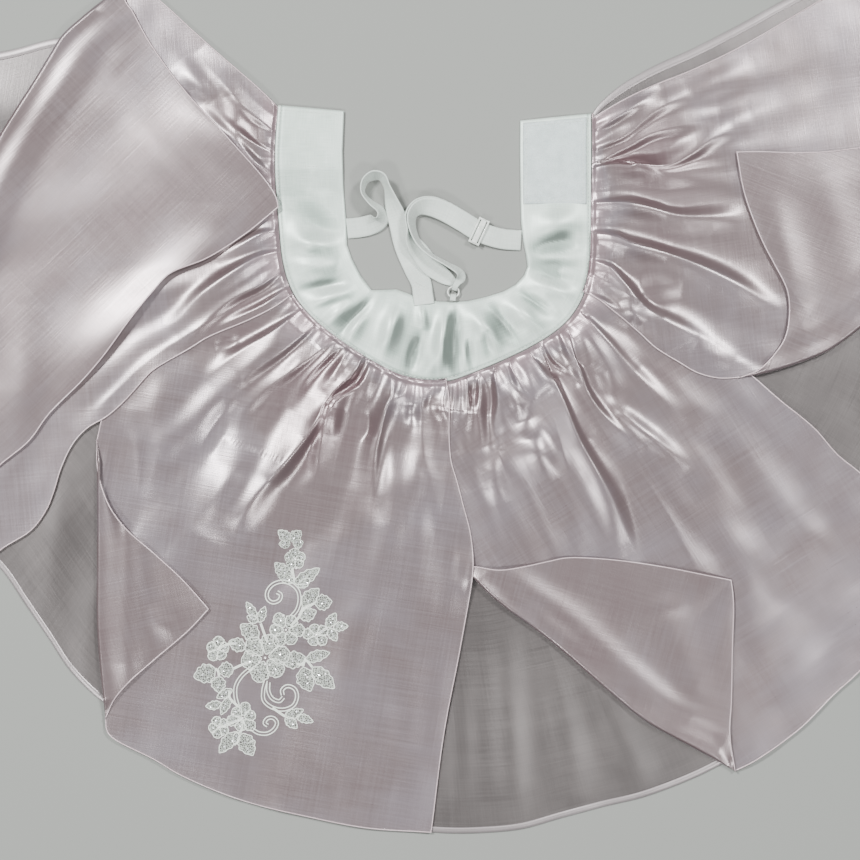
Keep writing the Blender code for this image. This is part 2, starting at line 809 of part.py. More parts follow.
def flap_grid(flap, trees, body_tree):
    """Middle surface and wall of a turned-back corner, from inside the panel."""
    fold = resample(spline(flap.fold, 4.0), flap.along + 1, flap.start, flap.end)
    edge = resample(spline(flap.edge, 4.0), flap.along + 1, flap.start, flap.end)
    tangent = np.gradient(fold, axis=0)
    tangent /= np.linalg.norm(tangent, axis=1)[:, None]
    inward = np.column_stack([-tangent[:, 1], tangent[:, 0]])
    half = FLAP_WALL / 2.0
    bend = FOLD_LIFT / 2.0 + half
    need = np.zeros((flap.along + 1, flap.across + 1))
    plan = np.zeros((flap.along + 1, flap.across + 1, 2))
    for i in range(flap.along + 1):
        first = fold[i] + inward[i] * bend
        for j in range(flap.across + 1):
            plan[i, j] = first + (edge[i] - first) * j / flap.across
    for i in range(flap.along + 1):
        for j in range(flap.across + 1):
            i0, i1 = max(0, i - 1), min(flap.along, i + 1)
            j0, j1 = max(0, j - 1), min(flap.across, j + 1)
            reach = [plan[a, b] for a in (i0, i, i1) for b in (j0, j, j1)]
            found = []
            for spot in reach:
                for share in (0.0, 0.25, 0.5, 0.75):
                    x, y = plan[i, j] * (1 - share) + spot * share
                    found += [top_at(tree, x, y, 0.0) for tree in trees]
            need[i, j] = max(found) + FLAP_CLEAR + half
    height = need.copy()
    for _ in range(12):
        padded = np.pad(height, 1, mode="edge")
        mean = (padded[:-2, 1:-1] + padded[2:, 1:-1]) / 4
        mean += (padded[1:-1, :-2] + padded[1:-1, 2:]) / 4
        height = np.maximum(need, mean)
    points = []
    walls = []
    for i in range(flap.along + 1):
        root = []
        for back in (4.5, 0.3):
            x, y = fold[i] + inward[i] * (bend + back)
            root.append((x, y, top_at(body_tree, x, y, SHEET + 2.0) - SHEET / 2.0))
        rise = max(FOLD_LIFT, height[i, 0] - root[1][2])
        radius = rise / 2.0
        middle = root[1][2] + radius
        line = list(root)
        for phi in np.linspace(-55, 55, 3):
            c, s = math.cos(math.radians(phi)), math.sin(math.radians(phi))
            x, y = fold[i] + inward[i] * (bend - c * (bend - half))
            line.append((x, y, middle + radius * s))
        for j in range(flap.across + 1):
            lift = max(height[i, j], root[1][2] + rise if j == 0 else 0.0)
            line.append((plan[i, j, 0], plan[i, j, 1], lift))
        points.append(line)
        walls.append([0.9, 1.1] + [FLAP_WALL] * (3 + flap.across + 1))
    return np.array(points), np.array(walls)


def thick_grid(name, middle, walls, made):
    """A closed sheet round a grid of middle points, the wall along its normals."""
    across = np.gradient(middle, axis=0)
    along = np.gradient(middle, axis=1)
    normal = np.cross(across, along)
    normal /= np.linalg.norm(normal, axis=2)[:, :, None]
    upper = middle + normal * walls[:, :, None] / 2.0
    lower = middle - normal * walls[:, :, None] / 2.0
    rows, cols = middle.shape[:2]
    count = rows * cols
    faces = []
    for i in range(rows - 1):
        for j in range(cols - 1):
            a, b = i * cols + j, (i + 1) * cols + j
            faces.append((a, b, b + 1))
            faces.append((a, b + 1, a + 1))
    solid = [f for f in faces]
    solid += [tuple(q + count for q in reversed(f)) for f in faces]
    for a, b in rim_of(faces):
        solid.append((b, a, a + count))
        solid.append((b, a + count, b + count))
    points = np.vstack([upper.reshape(-1, 3), lower.reshape(-1, 3)])
    return mesh_object(name, points, solid, made)


def make_band():
    """The horseshoe waistband, with soft creases raised across it."""
    outer = resample(spline(band_outer(), 3.0), GATHERS + 1)
    inner_rows = []
    steps = np.array([(r.outer_x, r.outer_y) for r in BAND])
    along = np.concatenate([[0.0], np.cumsum(np.linalg.norm(np.diff(steps, axis=0), axis=1))])
    along /= along[-1]
    inner = np.array([(r.inner_x, r.inner_y) for r in BAND])
    for u in np.linspace(0.0, 1.0, GATHERS + 1):
        inner_rows.append([np.interp(u, along, inner[:, k]) for k in range(2)])
    inner_rows = np.array(inner_rows)
    shares = (0.0, 0.16, 0.50, 0.84, 1.0)
    middle = []
    for i in range(GATHERS + 1):
        line = []
        for share in shares:
            x, y = outer[i] * (1 - share) + inner_rows[i] * share
            rise = ridge_height(BAND_CREASES, x, y) * math.sin(math.pi * (0.08 + 0.84 * share))
            over = min(1.0, max(0.0, (y - 24.0) / 20.0)) if x < 0 else 0.0
            rise = max(rise, over * (PATCH_WALL + SEAM_GAP))
            line.append((x, y, rise))
        middle.append(line)
    middle = np.array(middle)
    rows, cols = middle.shape[:2]
    faces = []
    for i in range(rows - 1):
        for j in range(cols - 1):
            a, b = i * cols + j, (i + 1) * cols + j
            faces.append((a, a + 1, b + 1))
            faces.append((a, b + 1, b))
    flat = middle.reshape(-1, 3)
    return thick_sheet("waistband", flat[:, :2], flat[:, 2], faces, BAND_WALL, SATIN)


def soft_box(name, loop, low, wall, made, radius=2.0):
    """A flat pad over a polygon with rounded upright corners."""
    rounded = []
    for i, here in enumerate(loop):
        before, after = loop[i - 1], loop[(i + 1) % len(loop)]
        for other in (before, after):
            gap = math.dist(here, other)
            rounded.append(tuple(h + (o - h) * radius / gap for h, o in zip(here, other)))
    return flat_prism(name, rounded, low, wall, made)


def flat_prism(name, loop, low, wall, made):
    obj = prism(name, loop, low, low + wall)
    obj.data.materials.append(made)
    return obj


def ribbon(name, rows, step, wall, made):
    """A flat strap swept through rows of place, width direction and width."""
    data = []
    for row in rows:
        az, tilt = math.radians(row.across), math.radians(row.lean)
        wide = (math.cos(az) * math.cos(tilt), math.sin(az) * math.cos(tilt), math.sin(tilt))
        data.append((row.x, row.y, row.z, *(30.0 * w for w in wide), row.width))
    dense = spline(data, 1.0)
    steps = np.linalg.norm(np.diff(dense[:, :3], axis=0), axis=1)
    along = np.concatenate([[0.0], np.cumsum(steps)])
    count = int(round(along[-1] / step)) + 1
    want = np.linspace(0.0, along[-1], count)
    line = np.column_stack([np.interp(want, along, dense[:, k]) for k in range(7)])
    place, wide, width = line[:, :3], line[:, 3:6], line[:, 6]
    tangent = np.gradient(place, axis=0)
    tangent /= np.linalg.norm(tangent, axis=1)[:, None]
    wide = wide - (wide * tangent).sum(axis=1)[:, None] * tangent
    wide /= np.linalg.norm(wide, axis=1)[:, None]
    thick = np.cross(tangent, wide)
    points = []
    for p, w, n, size in zip(place, wide, thick, width):
        for a, b in ((-1, -1), (1, -1), (1, 1), (-1, 1)):
            points.append(p + w * size / 2 * a + n * wall / 2 * b)
    faces = [(0, 1, 2), (0, 2, 3)]
    for i in range(count - 1):
        for j in range(4):
            a, b = 4 * i + j, 4 * i + (j + 1) % 4
            faces += [(a, b, b + 4), (a, b + 4, a + 4)]
    last = 4 * (count - 1)
    faces += [(last, last + 2, last + 1), (last, last + 3, last + 2)]
    return mesh_object(name, points, faces, made)


LEFT_STRAP = [
    Ribbon(-67.2, -1.7, 1.1, 90, 0, STRAP_WIDTH),
    Ribbon(-57.0, -0.7, 1.6, 92, 0, STRAP_WIDTH),
    Ribbon(-47.5, 1.5, 3.8, 105, 18, STRAP_WIDTH),
    Ribbon(-40.5, 6.2, 8.2, 140, 60, STRAP_WIDTH),
    Ribbon(-41.6, 12.5, 9.2, 205, 66, STRAP_WIDTH),
    Ribbon(-48.5, 17.8, 9.4, 225, 74, STRAP_WIDTH),
    Ribbon(-54.6, 25.5, 9.2, 200, 80, STRAP_WIDTH),
    Ribbon(-53.4, 33.8, 9.0, 150, 76, STRAP_WIDTH),
    Ribbon(-46.6, 38.6, 9.0, 105, 68, STRAP_WIDTH),
    Ribbon(-39.6, 37.0, 9.2, 50, 70, STRAP_WIDTH),
    Ribbon(-36.0, 29.5, 9.0, 25, 72, STRAP_WIDTH),
    Ribbon(-32.0, 16.5, 7.4, 20, 45, STRAP_WIDTH),
    Ribbon(-27.0, 2.0, 4.0, 18, 12, STRAP_WIDTH),
    Ribbon(-22.5, -16.0, 1.8, 14, 0, STRAP_WIDTH),
    Ribbon(-15.6, -32.0, 1.4, 12, 0, STRAP_WIDTH),
    Ribbon(-9.8, -44.0, 1.3, 2, 0, STRAP_WIDTH),
    Ribbon(-9.0, -52.0, 1.3, -12, 0, STRAP_WIDTH),
]

RIGHT_STRAP = [
    Ribbon(67.2, -10.8, 1.3, 277, 0, STRAP_WIDTH),
    Ribbon(52.0, -9.6, 2.6, 266, 0, STRAP_WIDTH),
    Ribbon(34.7, -4.2, 4.6, 245, 0, STRAP_WIDTH),
    Ribbon(22.0, 3.4, 6.2, 240, -5, STRAP_WIDTH),
    Ribbon(8.0, 11.0, 8.0, 244, -14, STRAP_WIDTH),
    Ribbon(-3.0, 14.6, 9.2, 262, -28, STRAP_WIDTH),
    Ribbon(-12.5, 13.0, 9.6, 300, -50, STRAP_WIDTH),
    Ribbon(-17.2, 6.5, 9.4, 345, -64, STRAP_WIDTH),
    Ribbon(-16.4, -2.5, 9.0, 10, -70, STRAP_WIDTH),
]
RIGHT_STRAP_DOWN = [
    Ribbon(-11.5, -13.5, 8.8, 35, -74, STRAP_WIDTH),
    Ribbon(-2.5, -22.3, 8.8, 55, -77, STRAP_WIDTH),
    Ribbon(9.0, -29.0, 8.6, 60, -76, STRAP_WIDTH),
    Ribbon(18.4, -34.6, 8.0, 45, -66, 13.0),
    Ribbon(20.8, -40.2, 6.8, 5, -35, 8.5),
    Ribbon(18.2, -43.6, 5.9, -20, -5, 5.0),
]
RING_TURN = [
    Ribbon(16.4, -46.6, 5.6, -20, 0, 4.0),
    Ribbon(15.5, -49.2, 3.5, -20, 0, 4.0),
    Ribbon(16.0, -46.4, 1.3, -20, 0, 4.0),
]
RIGHT_STRAP_BACK = [
    Ribbon(13.6, -42.6, 1.5, 10, 0, 8.0),
    Ribbon(6.5, -37.6, 1.8, 40, 0, 12.5),
    Ribbon(-2.6, -30.7, 3.2, 44, -4, 15.0),
    Ribbon(-10.5, -20.4, 4.6, 34, -20, STRAP_WIDTH),
    Ribbon(-17.0, -10.8, 7.4, 18, -50, STRAP_WIDTH),
]


def under_run(rows, gap):
    """The strap's second layer, just beneath or outside the first, turned back."""
    place = np.array([(r.x, r.y, r.z) for r in rows])
    tangent = np.gradient(place, axis=0)
    back = []
    for row, t in zip(rows, tangent):
        az, tilt = math.radians(row.across), math.radians(row.lean)
        wide = (math.cos(az) * math.cos(tilt), math.sin(az) * math.cos(tilt), math.sin(tilt))
        n = np.cross(t / np.linalg.norm(t), wide)
        x, y, z = np.array([row.x, row.y, row.z]) - gap * n / np.linalg.norm(n)
        back.append(Ribbon(x, y, z, row.across, row.lean, row.width))
    return back[::-1]


TAB = [
    Ribbon(14.4, -57.1, 1.0, 0, 0, 4.4),
    Ribbon(14.7, -54.9, 1.2, 0, 0, 4.4),
    Ribbon(14.9, -52.6, 3.4, 0, 0, 4.4),
    Ribbon(14.7, -54.9, 5.5, 0, 0, 4.4),
    Ribbon(14.4, -57.6, 5.6, 0, 0, 4.4),
]
RING_X, RING_Y, RING_Z = 14.9, -50.7, 3.4
RING_RADIUS = 4.3
RING_WIRE = 0.6


def make_ring():
    """The small round ring that the right strap and its tab pass through."""
    points = []
    faces = []
    turns, sides = 20, 6
    for i in range(turns):
        a = 2 * math.pi * i / turns
        for j in range(sides):
            b = 2 * math.pi * j / sides
            r = RING_RADIUS + RING_WIRE * math.cos(b)
            z = RING_Z + RING_WIRE * math.sin(b)
            points.append((RING_X + r * math.cos(a), RING_Y + r * math.sin(a), z))
            c, d = (i + 1) % turns, (j + 1) % sides
            faces.append((i * sides + j, c * sides + j, c * sides + d, i * sides + d))
    return mesh_object("strap_ring", points, faces, PLASTIC)


SLIDER_X, SLIDER_Y, SLIDER_TURN = 34.7, -4.2, 155.0
SLIDER_LONG, SLIDER_WIDE = 21.0, 9.0
SLIDER_LOW, SLIDER_HIGH = 0.5, 7.1
SLIDER_SIDE, SLIDER_SKIN = 1.8, 0.9


def turned_box(name, long, wide, low, high):
    """A box across the strap, at the slider's place and turn."""
    a = math.radians(SLIDER_TURN)
    along = np.array([math.cos(a), math.sin(a)])
    over = np.array([-math.sin(a), math.cos(a)])
    loop = []
    for s, t in ((-1, -1), (1, -1), (1, 1), (-1, 1)):
        p = np.array([SLIDER_X, SLIDER_Y]) + along * wide / 2 * s + over * long / 2 * t
        loop.append(tuple(p))
    return prism(name, loop, low, high)


def make_slider():
    """The adjuster: a flat sleeve round both layers of the strap."""
    obj = turned_box("strap_slider", SLIDER_LONG, SLIDER_WIDE, SLIDER_LOW, SLIDER_HIGH)
    obj.data.materials.append(PLASTIC)
    slot = turned_box(
        "slot",
        SLIDER_LONG - 2 * SLIDER_SIDE,
        SLIDER_WIDE + 4,
        SLIDER_LOW + SLIDER_SKIN,
        SLIDER_HIGH - SLIDER_SKIN,
    )
    groove = turned_box("groove", SLIDER_LONG + 4, 2.2, SLIDER_HIGH - 0.5, SLIDER_HIGH + 2)
    boolean(obj, slot, "DIFFERENCE")
    return boolean(obj, groove, "DIFFERENCE")


FLOWERS = [
    Flower(-107.0, -258.0, 8.6, 5, 20),
    Flower(-115.5, -310.0, 12.5, 5, 0),
    Flower(-92.0, -315.5, 8.0, 5, 30),
    Flower(-130.4, -329.8, 20.0, 6, 10),
    Flower(-148.6, -377.3, 10.5, 5, 15),
    Flower(-168.0, -385.6, 7.6, 5, 40),
]
LEAVES = [
    Leaf(-113.0, -241.5, 11.0, 5.0, 118),
    Leaf(-106.0, -242.0, 12.0, 5.0, 72),
    Leaf(-117.5, -265.5, 10.0, 5.0, 205),
    Leaf(-97.0, -265.0, 10.0, 5.0, -30),
    Leaf(-101.0, -272.5, 9.0, 4.6, -60),
    Leaf(-95.0, -283.5, 12.0, 6.0, 10),
    Leaf(-88.0, -290.5, 10.0, 5.0, -20),
    Leaf(-96.5, -297.5, 12.0, 5.6, 12),
    Leaf(-80.0, -312.0, 11.0, 5.4, 20),
    Leaf(-78.0, -320.5, 10.0, 5.0, -20),
    Leaf(-141.0, -295.0, 11.0, 5.4, 120),
    Leaf(-131.5, -296.5, 11.0, 5.4, 70),
    Leaf(-141.5, -303.5, 10.0, 5.0, 170),
    Leaf(-168.0, -325.5, 12.0, 6.5, 150),
    Leaf(-174.0, -345.0, 13.0, 6.5, 190),
    Leaf(-161.0, -341.5, 11.0, 5.6, 215),
    Leaf(-166.0, -353.0, 11.0, 5.6, 240),
    Leaf(-89.5, -333.5, 14.0, 6.0, 30),
    Leaf(-83.5, -346.5, 15.0, 6.4, -18),
    Leaf(-97.0, -349.5, 13.0, 6.0, -70),
    Leaf(-161.5, -359.5, 12.0, 5.6, 165),
    Leaf(-170.0, -370.5, 11.0, 5.4, 190),
    Leaf(-107.5, -376.0, 11.0, 5.4, -15),
    Leaf(-100.5, -384.0, 11.0, 5.2, -35),
    Leaf(-112.0, -383.0, 10.0, 5.0, -75),
    Leaf(-157.0, -396.5, 12.0, 6.0, 235),
    Leaf(-141.5, -399.0, 13.0, 6.0, -80),
]
CORDS = [
    Cord(-109.5, -236.0, -107.0, -258.0, 1.5, 2.6),
    Cord(-107.0, -258.0, -121.5, -285.0, -6.0, 3.0),
    Cord(-121.5, -285.0, -112.0, -300.0, -5.0, 3.0),
    Cord(-107.0, -262.0, -100.0, -285.0, 3.0, 2.6),
    Cord(-100.0, -285.0, -104.0, -304.0, 3.0, 3.0),
    Cord(-104.0, -283.0, -90.0, -286.5, 1.0, 2.4),
    Cord(-103.0, -297.0, -92.0, -297.0, 1.0, 2.4),
    Cord(-115.5, -310.0, -92.0, -315.5, 1.0, 3.0),
    Cord(-92.0, -315.5, -76.0, -317.0, 1.0, 2.6),
    Cord(-130.4, -329.8, -137.0, -300.0, -3.0, 2.8),
    Cord(-130.4, -329.8, -115.5, -310.0, 1.0, 3.6),
    Cord(-130.4, -329.8, -164.0, -335.0, 3.0, 3.0),
    Cord(-164.0, -335.0, -166.0, -352.0, 3.0, 2.6),
    Cord(-164.0, -335.0, -172.0, -328.0, 1.0, 2.6),
    Cord(-130.4, -329.8, -90.0, -340.0, -3.0, 3.0),
    Cord(-90.0, -340.0, -78.0, -348.0, 1.0, 2.6),
    Cord(-99.0, -337.0, -96.5, -351.0, 1.0, 2.6),
    Cord(-140.0, -340.0, -150.0, -370.0, 6.0, 3.4),
    Cord(-131.0, -345.0, -133.0, -372.0, -4.0, 3.0),
    Cord(-133.0, -372.0, -148.6, -377.3, 2.0, 3.0),
    Cord(-133.0, -372.0, -121.0, -381.0, -2.0, 3.4),
    Cord(-121.0, -381.0, -108.5, -370.0, -5.0, 3.4),
    Cord(-108.5, -370.0, -114.0, -357.0, -5.0, 3.4),
    Cord(-121.0, -381.0, -102.0, -380.5, -2.0, 2.6),
    Cord(-166.0, -347.0, -175.0, -345.5, 0.5, 2.8),
    Cord(-136.0, -303.0, -141.5, -293.5, 0.5, 3.0),
    Cord(-98.0, -284.5, -87.5, -290.5, 0.5, 3.0),
    Cord(-101.0, -336.5, -89.0, -333.5, 0.5, 2.8),
    Cord(-151.0, -362.0, -166.0, -360.0, 1.0, 2.6),
    Cord(-150.0, -370.0, -168.0, -370.0, 1.0, 2.6),
    Cord(-148.6, -377.3, -168.0, -385.6, 1.0, 3.2),
    Cord(-155.0, -384.0, -155.5, -396.0, 1.0, 2.6),
    Cord(-146.0, -384.0, -142.0, -398.0, 1.0, 2.8),
    Cord(-148.6, -377.3, -128.0, -389.5, 2.0, 2.8),
]


def bowed(cord, count=10):
    """Points along a cord that bows to its left."""
    ax, ay = cord.x1 - cord.x0, cord.y1 - cord.y0
    size = math.hypot(ax, ay)
    nx, ny = -ay / size, ax / size
    spots = []
    for t in np.linspace(0.0, 1.0, count):
        rise = cord.bow * math.sin(math.pi * t)
        spots.append((cord.x0 + ax * t + nx * rise, cord.y0 + ay * t + ny * rise))
    return np.array(spots)


def lace_field(x, y):
    """Over 0 where lace is: flowers, leaves and the cords between them."""
    field = np.full(x.shape, -50.0)
    for f in FLOWERS:
        dx, dy = x - f.x, y - f.y
        turn = np.arctan2(dy, dx) - math.radians(f.turn)
        rim = f.radius * (0.74 + 0.26 * np.cos(f.petals * turn))
        field = np.maximum(field, rim - np.hypot(dx, dy))
    for leaf in LEAVES:
        a = math.radians(leaf.angle)
        s = ((x - leaf.x) * math.cos(a) + (y - leaf.y) * math.sin(a)) / (leaf.length / 2)
        t = (-(x - leaf.x) * math.sin(a) + (y - leaf.y) * math.cos(a)) / (leaf.width / 2)
        field = np.maximum(field, (1.0 - np.hypot(s, t)) * leaf.width / 2)
    for cord in CORDS:
        line = bowed(cord)
        for p, q in zip(line, line[1:]):
            d = q - p
            t = np.clip(((x - p[0]) * d[0] + (y - p[1]) * d[1]) / (d @ d), 0.0, 1.0)
            away = np.hypot(x - p[0] - t * d[0], y - p[1] - t * d[1])
            field = np.maximum(field, cord.width / 2 - away)
    return field


def contour(field, xs, ys):
    """Closed loops where the field passes 0, from the grid's squares."""
    joins = {}

    def crossing(i0, j0, i1, j1):
        a, b = field[i0, j0], field[i1, j1]
        t = a / (a - b)
        t = min(0.92, max(0.08, t))
        return (xs[i0] * (1 - t) + xs[i1] * t, ys[j0] * (1 - t) + ys[j1] * t)

    for i in range(len(xs) - 1):
        for j in range(len(ys) - 1):
            corners = [(i, j), (i + 1, j), (i + 1, j + 1), (i, j + 1)]
            signs = [field[c] > 0 for c in corners]
            if all(signs) or not any(signs):
                continue
            starts, stops = [], []
            for k in range(4):
                a, b = corners[k], corners[(k + 1) % 4]
                if signs[k] and not signs[(k + 1) % 4]:
                    stops.append(tuple(sorted((a, b))))
                elif not signs[k] and signs[(k + 1) % 4]:
                    starts.append(tuple(sorted((a, b))))
            for n, start in enumerate(starts):
                joins[stops[n]] = start
    loops = []
    while joins:
        first = next(iter(joins))
        here = first
        keys = []
        while here in joins:
            keys.append(here)
            here = joins.pop(here)
        loops.append([crossing(*k[0], *k[1]) for k in keys])
    return loops


def thinned(loop, slack):
    """The loop with the points left out that lie near the line past them."""
    points = [np.array(p) for p in loop]
    changed = True
    while changed and len(points) > 6:
        changed = False
        i = 1
        while i < len(points) - 1 and len(points) > 6:
            a, p, b = points[i - 1], points[i], points[i + 1]
            d = b - a
            off = abs(d[0] * (p - a)[1] - d[1] * (p - a)[0]) / max(1e-9, np.hypot(*d))
            if off < slack and np.hypot(*d) < 9.0:
                points.pop(i)
                changed = True
            i += 1
    return points


def make_lace(tree):
    """The corded lace, cut through between its motifs, lying on the panel."""
    xs = np.arange(-186.0, -68.0, LACE_CELL)
    ys = np.arange(-410.0, -228.0, LACE_CELL)
    gx, gy = np.meshgrid(xs, ys, indexing="ij")
    field = lace_field(gx, gy)
    loops = [thinned(loop, 0.42) for loop in contour(field, xs, ys) if len(loop) > 9]
    coords, edges = [], []
    for loop in loops:
        start = len(coords)
        coords += [Vector((p[0], p[1])) for p in loop]
        n = len(loop)
        edges += [(start + i, start + (i + 1) % n) for i in range(n)]
    verts, _, tris, _, _, _ = geometry.delaunay_2d_cdt(coords, edges, [], 0, 1e-5)
    keep = []
    polygons = [[(p[0], p[1]) for p in loop] for loop in loops]
    for tri in tris:
        x = sum(verts[k].x for k in tri) / 3
        y = sum(verts[k].y for k in tri) / 3
        if sum(inside(polygon, x, y) for polygon in polygons) % 2:
            keep.append(tuple(tri))
    used = sorted({k for tri in keep for k in tri})
    place = {k: n for n, k in enumerate(used)}
    xy = np.array([(verts[k].x, verts[k].y) for k in used])
    faces = [tuple(place[k] for k in tri) for tri in keep]
    turned = []
    for a, b, c in faces:
        area = (xy[b] - xy[a])[0] * (xy[c] - xy[a])[1] - (xy[b] - xy[a])[1] * (xy[c] - xy[a])[0]
        turned.append((a, b, c) if area > 0 else (a, c, b))
    low = np.array([top_at(tree, x, y, 5.0) for x, y in xy]) + LAYER_GAP
    return thick_sheet("lace_applique", xy, low, turned, LACE_WALL, LACE)


def make_panels(band):
    """Every panel with its turned-back corner joined on, lowest first."""
    loops = {}
    for panel in PANELS:
        edges = [panel.lead, panel.fold, panel.hem, panel.trail]
        loops[panel.name] = outline(edges, panel.fold)
    bodies = {panel.name: panel_body(panel, loops) for panel in PANELS}
    trees = {name: tree_of(obj) for name, obj in bodies.items()}
    band_tree = tree_of(band)
    for panel in PANELS:
        body_tree = trees[panel.name]
        under = list(trees.values()) + [band_tree]
        middle, walls = flap_grid(panel.flap, under, body_tree)
        flap = thick_grid("flap", middle, walls, ORGANZA)
        boolean(bodies[panel.name], flap, "UNION")
    return trees["panel_front_left"]


BAND_OBJECT = make_band()
LACED = make_panels(BAND_OBJECT)
make_lace(LACED)
soft_box(
    "closure_patch_right",
    [(68.8, 17.0), (117.0, 17.0), (117.0, 83.4), (68.8, 79.4)],
    BAND_WALL + SEAM_GAP,
    PATCH_WALL,
    TOUCH,
)
soft_box(
    "closure_patch_left",
    [(-117.5, 46.5), (-73.5, 46.5), (-73.0, 86.5), (-117.0, 90.0)],
    0.0,
    PATCH_WALL,
    TOUCH,
)
ribbon("strap_left", LEFT_STRAP, 3.2, STRAP_WALL, ELASTIC)
ribbon(
    "strap_right",
    RIGHT_STRAP
    + RIGHT_STRAP_DOWN
    + RING_TURN
    + RIGHT_STRAP_BACK
    + under_run(RIGHT_STRAP[2:], 2.0),
    3.0,
    STRAP_WALL,
    ELASTIC,
)
ribbon("strap_tab", TAB, 1.0, 0.9, ELASTIC)
make_ring()
make_slider()
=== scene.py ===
# %% [markdown]
# The object is a baby girl's hanbok skirt, opened out and laid flat. The packed
# solids come first: they fix where every panel, the waistband and the straps
# are, so each piece of cloth made below goes where its solid already lies.

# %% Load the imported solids
import math
from collections import namedtuple

import bmesh
import bpy
import numpy as np
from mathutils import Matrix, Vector, noise
from mathutils.bvhtree import BVHTree


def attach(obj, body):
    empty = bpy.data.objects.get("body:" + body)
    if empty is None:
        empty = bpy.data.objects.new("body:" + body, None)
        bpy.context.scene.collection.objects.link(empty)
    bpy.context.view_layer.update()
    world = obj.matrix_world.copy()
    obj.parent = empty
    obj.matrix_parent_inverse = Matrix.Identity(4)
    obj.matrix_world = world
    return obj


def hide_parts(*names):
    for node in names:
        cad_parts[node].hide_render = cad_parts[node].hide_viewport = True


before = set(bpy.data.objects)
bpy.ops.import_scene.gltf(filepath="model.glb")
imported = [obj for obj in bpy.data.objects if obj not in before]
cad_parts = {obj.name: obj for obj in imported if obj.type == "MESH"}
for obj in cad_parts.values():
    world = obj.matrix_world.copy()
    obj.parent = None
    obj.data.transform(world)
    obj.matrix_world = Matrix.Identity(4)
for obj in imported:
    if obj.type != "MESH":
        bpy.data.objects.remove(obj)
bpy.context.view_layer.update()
print("solids:", ", ".join(sorted(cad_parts)))

# %% [markdown]
# The photograph looks straight down at the skirt, a little over half a metre
# of surface across. A long lens from well above keeps the outline free of
# perspective, as a hand-held picture from a step ladder would.

# %% Camera straight above
MM = 0.001
CENTRE = np.array([5.2994, -104.5570])
PIXEL = 0.77
FRAME_PX = 860
HORSESHOE_PX = np.array([434.0, 226.0])
VIEW_HIGH = 1.9
CLOTH_HIGH = 0.005
SENSOR = 36.0

middle = (FRAME_PX / 2 - HORSESHOE_PX) * (PIXEL, -PIXEL)
middle = (middle - CENTRE) * MM
camera = bpy.data.objects.new("camera", bpy.data.cameras.new("camera"))
bpy.context.scene.collection.objects.link(camera)
camera.location = (middle[0], middle[1], VIEW_HIGH)
camera.rotation_euler = (0.0, 0.0, 0.0)
camera.data.sensor_width = SENSOR
camera.data.lens = SENSOR * (VIEW_HIGH - CLOTH_HIGH) / (FRAME_PX * PIXEL * MM)
bpy.context.scene.camera = camera
print("lens", round(camera.data.lens, 1), "mm")

# %% [markdown]
# A plain pale table top and four large soft lamps, high round the skirt. The
# strongest stands beyond the upper left corner, so that each ridge of the shiny
# cloth catches a line of light, and the others open the shadows.

# %% Floor and lights
FLOOR_COLOUR = (0.200, 0.209, 0.198)
FLOOR_SIZE = 9.0
LAMP_FAR = 3.2
LAMP_AIM = Vector((0.0, -0.05, 0.0))
LAMP_COLOUR = (1.0, 0.995, 0.98)
LAMPS = [
    ("lamp_top_left", 140, 34, 0.52, 158.0),
    ("lamp_top_right", 42, 33, 0.52, 96.0),
    ("lamp_low_left", 228, 35, 0.50, 52.0),
    ("lamp_low_right", 318, 33, 0.50, 44.0),
]


def new_material(name, **values):
    """A material with these shader values, its node tree and its shader."""
    made = bpy.data.materials.new(name)
    made.use_nodes = True
    shader = made.node_tree.nodes["Principled BSDF"]
    for key, value in values.items():
        shader.inputs[key.replace("_", " ")].default_value = value
    return made, made.node_tree, shader


def plain_material(name, colour, rough, **more):
    return new_material(name, Base_Color=(*colour, 1.0), Roughness=rough, **more)[0]


bpy.ops.mesh.primitive_plane_add(size=FLOOR_SIZE, location=(0, 0, 0))
floor = bpy.context.object
floor.name = "table_top"
floor.data.materials.append(plain_material("table_matt", FLOOR_COLOUR, 0.8))
for name, turn_deg, tilt_deg, size, power in LAMPS:
    data = bpy.data.lights.new(name, "AREA")
    data.shape = "DISK"
    data.size = size
    data.energy = power
    data.color = LAMP_COLOUR
    lamp = bpy.data.objects.new(name, data)
    bpy.context.scene.collection.objects.link(lamp)
    turn, tilt = math.radians(turn_deg), math.radians(tilt_deg)
    out = LAMP_FAR * math.sin(tilt)
    away = (out * math.cos(turn), out * math.sin(turn), LAMP_FAR * math.cos(tilt))
    lamp.location = LAMP_AIM + Vector(away)
    lamp.rotation_euler = (-Vector(away)).to_track_quat("-Z", "Y").to_euler()
world = bpy.data.worlds.new("studio_air")
bpy.context.scene.world = world
world.use_nodes = True
air = world.node_tree.nodes["Background"]
air.inputs["Color"].default_value = (0.92, 0.95, 1.0, 1)
air.inputs["Strength"].default_value = 0.20
print(len(LAMPS), "lamps")

# %% [markdown]
# Curves and sheets are worked out in millimetres from the middle of the
# waistband's horseshoe, which is how a cutter would lay out the pattern. These
# helpers turn a short list of places into a smooth line, and place a finished
# sheet in the scene.

# %% Smooth lines and ridges
Fold = namedtuple("Fold", "x0 y0 x1 y1 width height")


